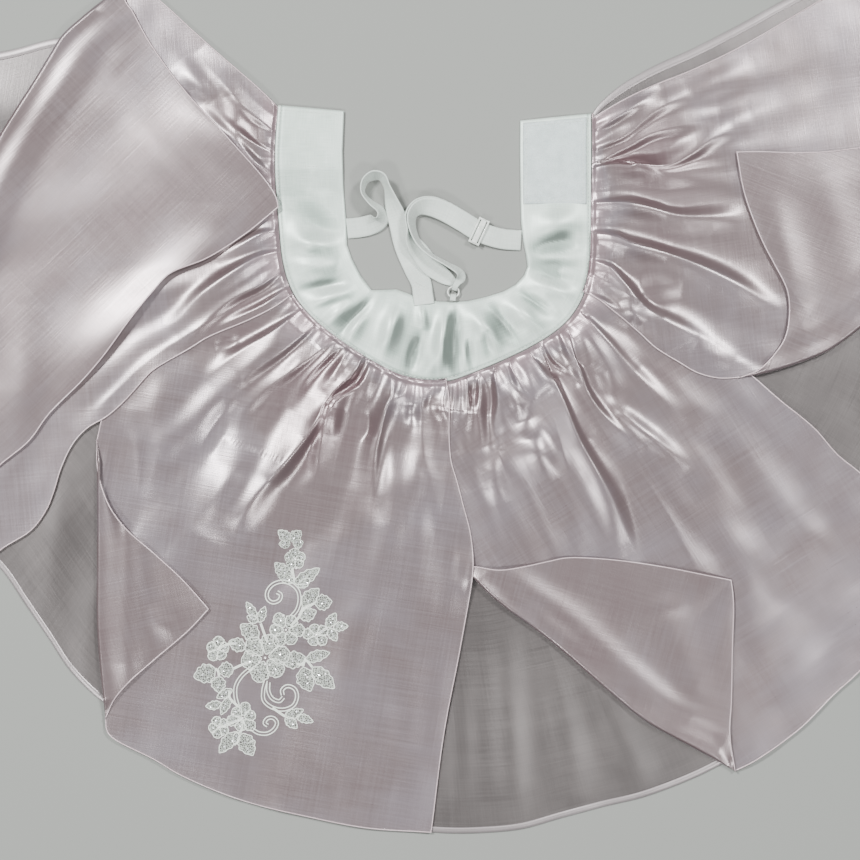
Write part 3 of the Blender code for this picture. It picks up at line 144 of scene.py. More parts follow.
def smooth_line(rows):
    """A dense smooth curve through the rows."""
    given = np.array([tuple(r) for r in rows], float)
    ends = np.vstack([2 * given[0] - given[1], given, 2 * given[-1] - given[-2]])
    gaps = np.maximum(1e-6, np.linalg.norm(np.diff(ends, axis=0), axis=1) ** 0.5)
    knots = np.concatenate([[0.0], np.cumsum(gaps)])
    dense = []
    for i in range(1, len(ends) - 2):
        t = np.linspace(knots[i], knots[i + 1], 20, endpoint=False)[:, None]
        a = [
            ends[j] + (ends[j + 1] - ends[j]) * (t - knots[j]) / gaps[j]
            for j in range(i - 1, i + 2)
        ]
        b = [
            a[j]
            + (a[j + 1] - a[j])
            * (t - knots[i - 1 + j])
            / (knots[i + 1 + j] - knots[i - 1 + j])
            for j in range(2)
        ]
        dense.append(b[0] + (b[1] - b[0]) * (t - knots[i]) / gaps[i])
    dense.append(ends[-2][None])
    return np.vstack(dense)


def along_of(points):
    steps = np.linalg.norm(np.diff(points, axis=0), axis=1)
    return np.concatenate([[0.0], np.cumsum(steps)])


def at_shares(points, shares):
    """Places at these shares of a polyline's length."""
    along = along_of(points)
    want = np.asarray(shares) * along[-1]
    return np.column_stack(
        [np.interp(want, along, points[:, k]) for k in range(points.shape[1])]
    )


def evenly(points, count):
    """This many places, evenly spaced along a line."""
    return at_shares(np.asarray(points, float), np.linspace(0.0, 1.0, count))


def side_of(points):
    """Unit steps to the left of a line's direction, in plan."""
    tangent = np.gradient(points, axis=0)
    tangent /= np.maximum(1e-9, np.linalg.norm(tangent, axis=1))[:, None]
    return np.column_stack([-tangent[:, 1], tangent[:, 0]])


def unit(rows):
    """The same directions, each of length one."""
    return rows / np.linalg.norm(rows, axis=1)[:, None]


def ridges(table, x, y):
    """Summed height of soft ridges and troughs at many places."""
    total = np.zeros_like(x)
    for f in table:
        ax, ay = f.x1 - f.x0, f.y1 - f.y0
        t = np.clip(((x - f.x0) * ax + (y - f.y0) * ay) / (ax * ax + ay * ay), 0, 1)
        near = np.hypot(x - f.x0 - t * ax, y - f.y0 - t * ay)
        taper = np.sin(math.pi * (0.06 + 0.88 * t))
        total += f.height * taper * np.exp(-((near / f.width) ** 2))
    return total


def cloud(a, b, seed):
    """Smooth repeatable noise, about -1 to 1, at many places."""
    flat = [
        noise.noise(Vector((u, v, seed)))
        for u, v in zip(np.ravel(a), np.ravel(b))
    ]
    return np.array(flat).reshape(np.shape(a))


def spread(values, rounds):
    """Neighbour means over a grid, a few times."""
    for _ in range(rounds):
        w = np.pad(values, 1, mode="edge")
        values = (w[:-2, 1:-1] + w[2:, 1:-1] + w[1:-1, :-2] + w[1:-1, 2:]) / 4
    return values


print("helpers ready")

# %% Sheets and trees
MIDDLE = np.array([*CENTRE, 0.0])
THREAD_SIDES = 6
THREAD_ROUND = 0.002


def put_mesh(name, points, faces, uvs=None):
    """A mesh object from millimetre places; uvs are in metres, one a vertex."""
    mesh = bpy.data.meshes.new(name)
    placed = (np.asarray(points) - MIDDLE) * MM
    mesh.from_pydata(placed.tolist(), [], [list(f) for f in faces])
    if uvs is not None:
        layer = mesh.uv_layers.new(name="cloth")
        index = np.empty(len(mesh.loops), np.int32)
        mesh.loops.foreach_get("vertex_index", index)
        layer.data.foreach_set("uv", np.asarray(uvs, np.float32)[index].ravel())
    mesh.polygons.foreach_set("use_smooth", [True] * len(mesh.polygons))
    mesh.update()
    obj = bpy.data.objects.new(name, mesh)
    bpy.context.scene.collection.objects.link(obj)
    return obj


def tidy_mesh(obj, merge=0.00002, outward=False):
    """Merges doubled points, and turns a closed shell's faces outward."""
    work = bmesh.new()
    work.from_mesh(obj.data)
    bmesh.ops.remove_doubles(work, verts=work.verts, dist=merge)
    bmesh.ops.dissolve_degenerate(work, dist=0.000001, edges=work.edges)
    if outward:
        bmesh.ops.recalc_face_normals(work, faces=work.faces)
    work.to_mesh(obj.data)
    work.free()
    obj.data.update()


def height_tree(obj):
    """A ray tree over a finished piece, in millimetres."""
    mesh = obj.data
    mesh.calc_loop_triangles()
    points = np.empty(len(mesh.vertices) * 3)
    mesh.vertices.foreach_get("co", points)
    points = points.reshape(-1, 3) / MM + MIDDLE
    tris = np.empty(len(mesh.loop_triangles) * 3, np.int32)
    mesh.loop_triangles.foreach_get("vertices", tris)
    return BVHTree.FromPolygons(points.tolist(), tris.reshape(-1, 3).tolist())


def tops(trees, x, y, missing=0.0):
    """The highest surface of these trees under each place."""
    down = Vector((0.0, 0.0, -1.0))
    found = np.full(x.size, missing)
    for i, (a, b) in enumerate(zip(x.ravel(), y.ravel())):
        for tree in trees:
            hit = tree.ray_cast(Vector((a, b, 300.0)), down)[0]
            if hit is not None and hit.z > found[i]:
                found[i] = hit.z
    return found.reshape(x.shape)


def ring_faces(count, sides):
    """Faces round a tube, from each ring of points to the next."""
    faces = []
    for a in range(0, (count - 1) * sides, sides):
        for j in range(sides):
            k = (j + 1) % sides
            faces.append((a + j, a + sides + j, a + sides + k, a + k))
    return faces


def swept_faces(count, sides):
    """Faces of a closed tube: round it, then its two ends."""
    last = (count - 1) * sides
    ends = [tuple(range(sides)), tuple(last + j for j in reversed(range(sides)))]
    return ring_faces(count, sides) + ends


def ring_by_ring(lines):
    """Lines of values along a tube, as one list that goes round ring by ring."""
    return np.stack(lines, axis=1).reshape(-1, lines[0].shape[1])


def tube(name, path, radius):
    """A thin round thread or rolled edge along a path, its ends closed."""
    path = np.asarray(path, float)
    keep = [0]
    for i in range(1, len(path)):
        if np.linalg.norm(path[i] - path[keep[-1]]) > 0.25:
            keep.append(i)
    path = path[keep]
    tangent = unit(np.gradient(path, axis=0))
    side = np.cross(tangent, (0.0, 0.0, 1.0))
    side[np.linalg.norm(side, axis=1) < 0.2] = (1.0, 0.0, 0.0)
    side = unit(side - (side * tangent).sum(axis=1)[:, None] * tangent)
    over = np.cross(side, tangent)
    length = along_of(path) * MM
    lines, uvs = [], []
    for j in range(THREAD_SIDES):
        a = 2 * math.pi * j / THREAD_SIDES
        lines.append(path + (side * math.cos(a) + over * math.sin(a)) * radius)
        round_it = np.full(len(path), THREAD_ROUND * j / THREAD_SIDES)
        uvs.append(np.column_stack([round_it, length]))
    faces = swept_faces(len(path), THREAD_SIDES)
    obj = put_mesh(name, ring_by_ring(lines), faces, ring_by_ring(uvs))
    tidy_mesh(obj, 0.000002, outward=True)
    return obj


def set_tone_and_shade(obj, values):
    """A value for each vertex that the cloth's material reads as its depth of colour, and
    in creases and hollows as painted shade.
    """
    layer = obj.data.attributes.new("tone_and_shade", "FLOAT", "POINT")
    layer.data.foreach_set("value", np.asarray(values, np.float32).ravel())


def finish_piece(obj, cloth, stands_for=None):
    """Gives a piece its cloth and says what it is part of."""
    obj.data.materials.append(cloth)
    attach(obj, "root")
    if stands_for:
        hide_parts(stands_for)
    return obj


def joined(name, objects):
    """Several objects made into one."""
    bpy.ops.object.select_all(action="DESELECT")
    for obj in objects:
        obj.select_set(True)
    bpy.context.view_layer.objects.active = objects[0]
    bpy.ops.object.join()
    made = bpy.context.object
    made.name = name
    return made


print("sheet helpers ready")

# %% [markdown]
# Organza is a sheer, stiff weave of shiny filament. Seen close it is a fine
# grid, and seen far it is a veil with pearly streaks that run with the thread.
# The weave and the streaks are wanted in several cloths, so they are built
# once as a node group and placed in each material with its own values.

# %% Weave group
def node(tree, kind, **inputs):
    made = tree.nodes.new(kind)
    for key, value in inputs.items():
        made.inputs[key.replace("_", " ")].default_value = value
    return made


def maths(tree, what, a, b=None):
    made = tree.nodes.new("ShaderNodeMath")
    made.operation = what
    for slot_number, value in enumerate((a, b)):
        if value is None:
            continue
        if isinstance(value, (int, float)):
            made.inputs[slot_number].default_value = value
        else:
            tree.links.new(value, made.inputs[slot_number])
    return made.outputs[0]


def weighted(tree, *parts):
    """A sum of node outputs, each times its share."""
    total = None
    for value, share in parts:
        part = maths(tree, "MULTIPLY", value, share)
        total = part if total is None else maths(tree, "ADD", total, part)
    return total


weave = bpy.data.node_groups.new("cloth_weave", "ShaderNodeTree")
for label in ("Weave", "Streaks", "Clouds"):
    weave.interface.new_socket(
        name=label, in_out="OUTPUT", socket_type="NodeSocketFloat"
    )
outside = weave.nodes.new("NodeGroupOutput")
coords = weave.nodes.new("ShaderNodeUVMap")
coords.uv_map = "cloth"
split = weave.nodes.new("ShaderNodeSeparateXYZ")
weave.links.new(coords.outputs["UV"], split.inputs[0])


def streak_noise(scale_x, scale_y, detail):
    """Noise that is drawn out along one thread direction."""
    both = weave.nodes.new("ShaderNodeCombineXYZ")
    for axis, scale in (("X", scale_x), ("Y", scale_y)):
        scaled = maths(weave, "MULTIPLY", split.outputs[axis], scale)
        weave.links.new(scaled, both.inputs[axis])
    made = node(weave, "ShaderNodeTexNoise", Scale=1.0, Detail=detail, Roughness=0.6)
    weave.links.new(both.outputs[0], made.inputs["Vector"])
    return made.outputs["Fac"]


along_threads = streak_noise(60.0, 1700.0, 2.0)
across_threads = streak_noise(1700.0, 60.0, 2.0)
grid = weighted(weave, (along_threads, 0.5), (across_threads, 0.5))
fine, cross = streak_noise(14.0, 900.0, 3.0), streak_noise(700.0, 10.0, 3.0)
weave.links.new(grid, outside.inputs["Weave"])
weave.links.new(weighted(weave, (fine, 0.6), (cross, 0.4)), outside.inputs["Streaks"])
weave.links.new(streak_noise(9.0, 13.0, 3.0), outside.inputs["Clouds"])
print("weave group:", len(weave.nodes), "nodes")

# %% Organza material
def colour_ramp(tree, value, stops):
    ramp = tree.nodes.new("ShaderNodeValToRGB")
    band = ramp.color_ramp
    while len(band.elements) < len(stops):
        band.elements.new(0.5)
    for element, (place, colour) in zip(band.elements, stops):
        element.position = place
        element.color = (*colour, 1.0)
    tree.links.new(value, ramp.inputs[0])
    return ramp.outputs[0]


def cloth_nodes(tree):
    """The weave's values, and the tone and painted shade that each vertex holds."""
    cloth = tree.nodes.new("ShaderNodeGroup")
    cloth.node_tree = weave
    tone_and_shade = tree.nodes.new("ShaderNodeAttribute")
    tone_and_shade.attribute_name = "tone_and_shade"
    return cloth.outputs, tone_and_shade.outputs["Fac"]


def add_bump(tree, shader, height, strength, distance):
    bump = node(tree, "ShaderNodeBump", Strength=strength, Distance=distance)
    tree.links.new(height, bump.inputs["Height"])
    tree.links.new(bump.outputs[0], shader.inputs["Normal"])
    return bump


CREAM_TINT = (1.12, 1.16, 0.86)
BLUSH = (0.33, 0.225, 0.25, 1.0)
LEAST_ROUGH = 0.2


def organza(name, deep, mid, pale, cover, rough, sheen):
    """Sheer shining cloth: colour from deep to pale, cover is how much it hides."""
    made, tree, shader = new_material(
        name, IOR=1.8, Metallic=0.42,
        Specular_IOR_Level=1.0, Specular_Tint=(1.0, 0.955, 0.965, 1.0),
        Sheen_Weight=sheen, Sheen_Roughness=0.4, Sheen_Tint=(0.92, 0.88, 1.0, 1.0),
    )
    cloth, tone_and_shade = cloth_nodes(tree)
    clouds, streaks = cloth["Clouds"], cloth["Streaks"]
    # A positive tone darkens the colour towards the deep stop and thickens the veil:
    # painted shade in the creases, and the denser colour of gathered cloth. A negative tone
    # mixes in the blush pink.
    shaded = maths(tree, "MAXIMUM", tone_and_shade, 0.0)
    mixed = weighted(tree, (clouds, 0.55), (streaks, 0.22), (shaded, -0.5))
    mixed = maths(tree, "ADD", mixed, 0.18)
    cream = tuple(part * tint for part, tint in zip(pale, CREAM_TINT))
    stops = [(0.10, deep), (0.46, mid), (0.62, pale), (0.74, mid), (0.90, cream)]
    blush = tree.nodes.new("ShaderNodeMix")
    blush.data_type = "RGBA"
    blush.inputs[7].default_value = BLUSH
    tree.links.new(maths(tree, "SUBTRACT", shaded, tone_and_shade), blush.inputs[0])
    tree.links.new(colour_ramp(tree, mixed, stops), blush.inputs[6])
    tree.links.new(blush.outputs[2], shader.inputs["Base Color"])
    gloss = maths(tree, "MULTIPLY", streaks, 0.20)
    gloss = maths(tree, "MAXIMUM", maths(tree, "ADD", gloss, rough - 0.10), LEAST_ROUGH)
    tree.links.new(gloss, shader.inputs["Roughness"])
    veil = weighted(tree, (cloth["Weave"], 0.10), (shaded, 0.9 * (1 - cover)))
    veil = maths(tree, "MINIMUM", maths(tree, "ADD", veil, cover - 0.05), 1.0)
    tree.links.new(veil, shader.inputs["Alpha"])
    height = weighted(tree, (cloth["Weave"], 1.0), (streaks, 1.6))
    add_bump(tree, shader, height, 0.28, 0.0002)
    return made


PANEL_CLOTH = organza(
    "organza_double", (0.104, 0.060, 0.067), (0.140, 0.105, 0.109),
    (0.182, 0.155, 0.175), 0.90, 0.31, 0.12,
)
UNDER_CLOTH = organza(
    "organza_single", (0.030, 0.025, 0.025), (0.046, 0.038, 0.037),
    (0.092, 0.080, 0.078), 0.82, 0.35, 0.05,
)
HEM_CLOTH = organza(
    "rolled_hem_thread", (0.32, 0.24, 0.26), (0.44, 0.35, 0.37),
    (0.55, 0.48, 0.50), 0.98, 0.45, 0.2,
)
UNDER_HEM_CLOTH = organza(
    "turned_hem", (0.15, 0.13, 0.135), (0.24, 0.215, 0.22),
    (0.36, 0.335, 0.34), 0.84, 0.38, 0.15,
)
print("organza materials ready")

# %% [markdown]
# The waistband's outer edge is the line that everything is sewn to, so it is
# laid out first. It is described by pairs of places, outer and inner, down one
# arm of the horseshoe, round its bottom and up the other arm.

# %% Waistband line
BandRow = namedtuple("BandRow", "outer_x outer_y inner_x inner_y")
BAND = [BandRow(*row) for row in (
    (-120.3, 93.3, -69.4, 88.8), (-122.6, 57.9, -70.6, 57.9), (-122, 30.8, -69.9, 30.8),
    (-119.9, 3.4, -67.8, 4.6), (-116.3, -29.3, -67, -14.6), (-109, -51.1, -63.1, -25.4),
    (-96.8, -67.5, -56.3, -38.3), (-81.7, -81.1, -48.1, -49.1), (-64, -94, -40, -48.9),
    (-47.2, -104.8, -29.3, -48.5), (-25.4, -115.9, -14.6, -53.6),
    (-3, -120.5, 2.3, -57.8), (12.8, -118.9, 13.9, -58.3), (32.7, -111.9, 26.2, -57.6),
    (56.2, -101.9, 40.8, -54.2), (75.2, -92.6, 53.9, -50.1), (91.7, -82.4, 63, -45),
    (103.6, -72, 69.4, -38), (112.4, -59.2, 72.2, -31), (118.4, -43.9, 71, -22.3),
    (121.2, -23.9, 68.7, -10.8), (121.7, 3.4, 67, 4.6), (121.6, 30.8, 66.6, 30.8),
    (121.6, 57.9, 66.2, 57.8), (121.4, 87, 66.4, 81.5),
)]
seam_line = smooth_line([(r.outer_x, r.outer_y) for r in BAND])
SEAM_LONG = along_of(seam_line)[-1]


def seam_places(first, last, count):
    """Places just outside the waistband's edge between two lengths along it."""
    line = at_shares(seam_line, np.linspace(first, last, count) / SEAM_LONG)
    return line - side_of(line) * 0.4


print("waistband seam", round(SEAM_LONG), "mm long")

# %% [markdown]
# The gathers are what makes the skirt: forty-four small tucks pulled in
# along the seam, unevenly spaced, each running out into the cloth and fading.
# Every tuck gets its own place, height, length and drift from a seeded list,
# so neighbours differ but each run gives the same skirt.

# %% Gathers along the seam
Tuck = namedtuple("Tuck", "place height reach drift width")
GATHERS = 44
picker = np.random.default_rng(11)
tucks = [
    Tuck(
        SEAM_LONG * (number + 0.5 + picker.uniform(-0.28, 0.28)) / GATHERS,
        picker.uniform(0.9, 2.1),
        14.0 + 40.0 * picker.uniform(0.0, 1.0) ** 1.6,
        picker.uniform(-0.05, 0.05),
        picker.uniform(3.3, 5.4),
    )
    for number in range(GATHERS)
]


def gather_height(s, d):
    """Height of the tucks at length s along the seam and distance d from it."""
    total = np.zeros_like(s)
    rise = np.clip(d / 5.0, 0.0, 1.0) ** 0.7
    for tuck in tucks:
        wide = tuck.width * (1.0 + d / 70.0)
        fade = np.exp(-((d / tuck.reach) ** 1.4))
        off = (s - tuck.place - tuck.drift * d) / wide
        total += tuck.height * (0.45 + 0.55 * rise) * fade * np.exp(-(off**2))
    fine_pleats = np.exp(-((d / 20.0) ** 1.5)) * (0.3 + rise)
    total += 0.22 * fine_pleats * cloud(s / 3.6, d / 30.0, 3.0)
    return total


print(len(tucks), "gathers")

# %% [markdown]
# Past the gathers the cloth lies in broad soft folds. The large ones are set
# where the photograph shows them, as ridges and troughs with a start, an end,
# a width and a height. The same list shapes every layer, so that a layer that
# lies on another follows it.

# %% Large folds
FOLDS = [Fold(*row) for row in (
    (-55, -101, -80, -138, 5.5, 4), (-80, -138, -98, -166, 6.5, 4.6),
    (-98, -166, -126, -198, 7.5, 4.6), (-126, -198, -156, -236, 10, 4),
    (-46, -108, -88, -170, 6, -2), (-34, -120, -48, -182, 7, 3.6),
    (-20, -122, -24, -160, 5, 2.6), (-8, -126, -14, -210, 8, 3.6),
    (-62, -110, -108, -210, 8, 1.6), (-104, -74, -150, -116, 8, 3.6),
    (-150, -116, -214, -176, 12, 3.8), (-92, -84, -136, -156, 7, 3),
    (-136, -156, -176, -226, 12, 3.2), (-128, -22, -206, -74, 9, 3.8),
    (-124, -42, -190, -84, 7, 2.4), (-126, 66, -196, 118, 9, 3.2),
    (-126, 44, -206, 84, 8, 2.2), (30, -126, 40, -170, 6, 4.2),
    (40, -170, 52, -214, 9, 3.6), (56, -120, 70, -150, 6, 4.6),
    (70, -150, 92, -196, 9, 4), (20, -128, 26, -190, 6, 2.4),
    (92, -112, 118, -164, 8, 4.6), (118, -164, 150, -244, 12, 4.2),
    (76, -112, 108, -186, 7, 2.4), (104, -92, 150, -144, 8, 4.4),
    (150, -144, 196, -190, 12, 3.6), (116, -70, 160, -108, 8, 3.8),
    (160, -108, 214, -160, 12, 3.4), (124, -30, 160, -56, 7, 4),
    (160, -56, 214, -94, 11, 3.4), (126, -8, 180, -24, 7, 4.2),
    (180, -24, 262, -60, 11, 4), (126, 18, 180, 12, 7, 4), (180, 12, 240, 8, 11, 3.2),
    (130, 42, 176, 46, 7, 3.6), (176, 46, 244, 86, 11, 3.6), (124, 78, 176, 98, 8, 2.8),
    (176, 98, 246, 124, 10, 2.4), (196, -196, 300, -330, 20, 4.2),
    (232, -182, 330, -280, 16, 2.8), (-60, -230, -70, -430, 22, 3.2),
    (-14, -240, -24, -430, 20, 2.8), (-176, -240, -226, -300, 18, 2.6),
)]
POCKETS = [Fold(*row) for row in (
    (-154, -132.4, -177.1, -180.2, 8.5, -2), (-169.4, -92.4, -149.4, -89.3, 5, -1.5),
    (-55.4, -143.2, -50.8, -164.8, 8, -2.2), (-37, -137.1, -43.1, -207.9, 6.5, -2.6),
    (-18.5, -137.1, -16.9, -152.5, 6.5, -2), (1.5, -127.8, 6.2, -149.4, 5, 1.6),
    (-72.4, -140.1, -80.1, -163.2, 5, 1.8), (30.8, -118.6, 30.8, -140.1, 3.2, -1.6),
    (46.2, -127.8, 41.6, -187.9, 7, -2.2), (67.8, -137.1, 73.9, -164.8, 7.5, -2.4),
    (101.6, -107.8, 112.4, -123.2, 4, -1.5), (107.8, -77, 124.7, -107.8, 6, 2.2),
    (130.9, -112.4, 143.2, -146.3, 8, -2), (124.7, -129.4, 191, -181.7, 5.5, 2.2),
    (158.6, -44.7, 191, -49.3, 10, 1.8), (158.6, -53.9, 177.1, -70.8, 7, -1.6),
    (201.7, -93.9, 231, -106.3, 9, 1.6), (144.8, -57, 160.2, -75.5, 5, 1.5),
    (-152.5, -187.9, -175.6, -241.8, 16, 2.4), (-103.2, -226.4, -127.8, -288, 14, -2),
    (-234.1, -141.7, -240.2, -241.8, 15, -2.4), (-209.4, -95.5, -218.7, -211, 17, 2.2),
    (149.4, -203.3, 204.8, -280.3, 18, -2.2), (204.8, -211, 258.7, -303.4, 19, 2.2),
    (93.9, -180.2, 115.5, -257.2, 14, 2), (1.5, -180.2, 10.8, -303.4, 13, 1.6),
    (-10.8, -257.2, -13.9, -365, 18, -1.4), (-157.1, 100.1, -146.3, 58.5, 7, 1.6),
    (-195.6, 127.8, -169.4, 97, 8, 1.4), (-44, -200, 8, -206, 24, 4.2),
    (52, -180, 98, -168, 20, 3.6),
)]
UNDER_FOLDS = [Fold(*row) for row in (
    (52, -290, 62, -455, 14, 3.2), (88, -320, 112, -440, 14, 2.4),
    (120, -340, 164, -430, 14, 2.6), (20, -300, 22, -455, 12, 2.2),
    (-284, -200, -304, -300, 14, 2.4), (-262, -270, -272, -350, 10, 1.6),
    (-340, -10, -452, 10, 22, 3.2), (330, -110, 446, -200, 20, 3.2),
    (-300, 90, -450, 100, 20, 3), (430, 60, 476, 40, 20, 2.6),
)]
print(len(FOLDS), "large folds and", len(POCKETS), "pockets on the panels")

# %% [markdown]
# Near the seam the organza does not only wave. Each gather pushes cloth over
# its neighbour, so one side of a crease is a soft high lip and the other drops
# sharply into a dark, deeper pink line, its darkness partly painted shade in
# the colour. A crease is a smooth line with a high side, a height, how far the
# gentle side reaches, how tight the drop is and how much painted shade it lays
# on the low side.

# %% Sharp creases
Crease = namedtuple("Crease", "rows side height gentle steep shade")
CREASES = [Crease(*row) for row in (
    ([(92.4, -118.6), (100.9, -139.4), (109.3, -160.2), (121.7, -183.3),
      (136.3, -209.4), (147.8, -235.6), (155.5, -252.6)],
     -1, 5, 15, 2.6, 0.8),
    ([(111.7, -109.3), (117, -125.5), (124, -137.8), (136.3, -151.7), (150.2, -164),
      (162.5, -172.5)],
     -1, 4.6, 12, 2.4, 0.6),
    ([(118.6, -72.4), (132.4, -88.5), (146.3, -104.7), (160.2, -118.6), (176.3, -134),
      (194, -151.7)],
     -1, 3.2, 12, 3, 0.6),
    ([(47, -114), (49.3, -134), (47, -153.2), (49.3, -172.5)],
     1, 4.2, 9, 2.2, 0.9),
    ([(24.6, -118.6), (26.2, -134), (25.4, -158.6)],
     -1, 2.6, 4, 1.6, 0.7),
    ([(16.2, -120.1), (15.4, -135.5), (13.9, -161.7)],
     1, 2.2, 4, 1.6, 0.6),
    ([(34.6, -118.6), (35.4, -132.4), (33.9, -146.3)],
     1, 2.4, 4, 1.8, 0.5),
    ([(59.3, -107.8), (66.2, -121.7), (77.8, -134)],
     1, 3, 6, 2, 0.6),
    ([(78.5, -104.7), (87, -117.8), (93.9, -127)],
     -1, 2.6, 6, 2, 0.6),
    ([(85.5, -91.6), (92.4, -102.4), (104, -111.7), (110.1, -121.7)],
     1, 2.8, 5, 1.8, 0.6),
    ([(97, -83.2), (104, -97), (110.1, -106.3)],
     1, 3, 6, 1.8, 0.6),
    ([(117, -50.8), (127.8, -57), (141.7, -66.2), (152.5, -72.4)],
     -1, 3, 7, 2, 0.6),
    ([(123.2, -27.7), (135.5, -32.3), (148.6, -47), (161.7, -62.4), (179.4, -73.9),
      (211.8, -91.6)],
     -1, 4.2, 11, 2.6, 0.7),
    ([(123.2, -6.2), (138.6, -7.7), (150.2, -13.1), (167.9, -17.7), (191, -25.4),
      (211.8, -33.9), (232.5, -44.7), (253.3, -57.8), (271, -66.2)],
     -1, 5.2, 15, 2.6, 0.8),
    ([(123.2, 16.9), (135.5, 17.7), (150.2, 17.7), (164.8, 14.6), (185.6, 8.5),
      (208.7, 6.9), (238.7, 8.5)],
     -1, 4, 10, 2.4, 0.6),
    ([(124.7, 44.7), (140.9, 47.7), (158.6, 45.4), (179.4, 40.8), (200.2, 43.9),
      (231, 46.2)],
     -1, 4.2, 11, 2.4, 0.9),
    ([(127.8, 50.8), (140.9, 57), (150.2, 61.6), (166.3, 70.8), (185.6, 76.2),
      (220.2, 83.2)],
     1, 3.6, 9, 3, 0.6),
    ([(155.5, 48.5), (179.4, 47), (197.1, 54.7), (211.8, 66.2), (229.5, 74.7)],
     1, 3.8, 9, 2.2, 0.7),
    ([(125.5, 60.1), (145.5, 69.3), (160.2, 80.9), (176.3, 92.4), (197.1, 103.2)],
     1, 3.4, 8, 2.4, 0.7),
    ([(125.5, 75.5), (130.9, 77.8), (145.5, 87), (156.3, 93.9), (174, 106.3)],
     1, 2.8, 8, 2.2, 0.6),
    ([(-55.4, -100.1), (-61.6, -114), (-73.2, -123.2), (-83.9, -134.8), (-89.3, -147.1),
      (-97.8, -161.7), (-111.7, -178.6), (-127.8, -196.3), (-141.7, -211.8),
      (-152.5, -231)],
     -1, 6.2, 16, 2.6, 1),
    ([(-47.7, -104.7), (-56.2, -122.4), (-66.2, -129.4), (-75.5, -135.5),
      (-82.4, -148.6), (-85.5, -160.9), (-88.5, -175.6), (-89.3, -189.4),
      (-97.8, -201.7), (-103.2, -208.7)],
     1, 5.2, 13, 2.6, 0.9),
    ([(-30.8, -117), (-31.6, -130.1), (-36.2, -140.1), (-41.6, -164.8), (-43.9, -184),
      (-43.9, -211), (-38.5, -229.5)],
     1, 4, 9, 2.6, 0.7),
    ([(-33.1, -117), (-37, -134), (-45.4, -157.1), (-50.1, -181.7), (-50.8, -211),
      (-46.2, -234.1)],
     -1, 3, 7, 4, 0.3),
    ([(-78.5, -87.8), (-97.8, -103.2), (-125.5, -122.4), (-145.5, -140.1),
      (-158.6, -152.5)],
     -1, 3.4, 10, 2.6, 0.8),
    ([(-70.1, -90.9), (-92.4, -110.1), (-103.2, -123.2), (-111.7, -140.1)],
     -1, 3.2, 8, 2.4, 0.7),
    ([(-64.7, -95.5), (-77.8, -115.5), (-86.2, -127.8)],
     1, 2.4, 6, 2.2, 0.5),
    ([(-18.5, -115.5), (-23.1, -127.8), (-33.9, -140.1)],
     1, 2.6, 6, 1.8, 0.5),
    ([(-1.5, -118.6), (-4.6, -127.8), (-10.8, -138.6), (-7.7, -149.4)],
     -1, 2.6, 8, 2.2, 0.4),
    ([(9.2, -121.7), (7.7, -134), (10.8, -152.5), (13.9, -172.5)],
     1, 2.6, 7, 2.2, 0.5),
    ([(-121.7, 37), (-137.1, 48.5), (-150.2, 62.4), (-172.5, 82.4), (-187.1, 100.1)],
     1, 3.4, 8, 2.2, 0.8),
    ([(-122.4, 54.7), (-140.1, 63.9), (-157.1, 77), (-175.6, 97)],
     1, 3, 7, 2, 0.8),
    ([(-121.7, 73.9), (-141.7, 87.8), (-161.7, 109.3), (-183.3, 134)],
     -1, 3, 9, 3, 0.4),
    ([(-121.7, 21.6), (-135.5, 27.7), (-152.5, 40)],
     1, 2.6, 6, 1.8, 0.8),
    ([(-120.9, -4.6), (-132.4, -6.2), (-149.4, -15.4), (-167.9, -27.7)],
     1, 3, 7, 2.2, 0.8),
    ([(-119.4, -20), (-132.4, -23.1), (-152.5, -33.9), (-180.2, -53.9), (-203.3, -80.1)],
     1, 4, 10, 2.6, 0.8),
    ([(-117, -33.9), (-132.4, -44.7), (-154, -55.4), (-177.1, -73.9), (-198.7, -97)],
     -1, 3.6, 9, 2.6, 0.7),
    ([(-114, -49.3), (-132.4, -61.6), (-157.1, -73.9), (-183.3, -87.8)],
     1, 3, 8, 2.2, 0.6),
    ([(-103.2, -66.2), (-121.7, -80.1), (-149.4, -97), (-177.1, -118.6)],
     1, 3.6, 10, 2.4, 0.7),
    ([(-93.9, -77), (-115.5, -95.5), (-140.1, -112.4), (-163.2, -130.9)],
     -1, 3.2, 9, 2.4, 0.7),
)]


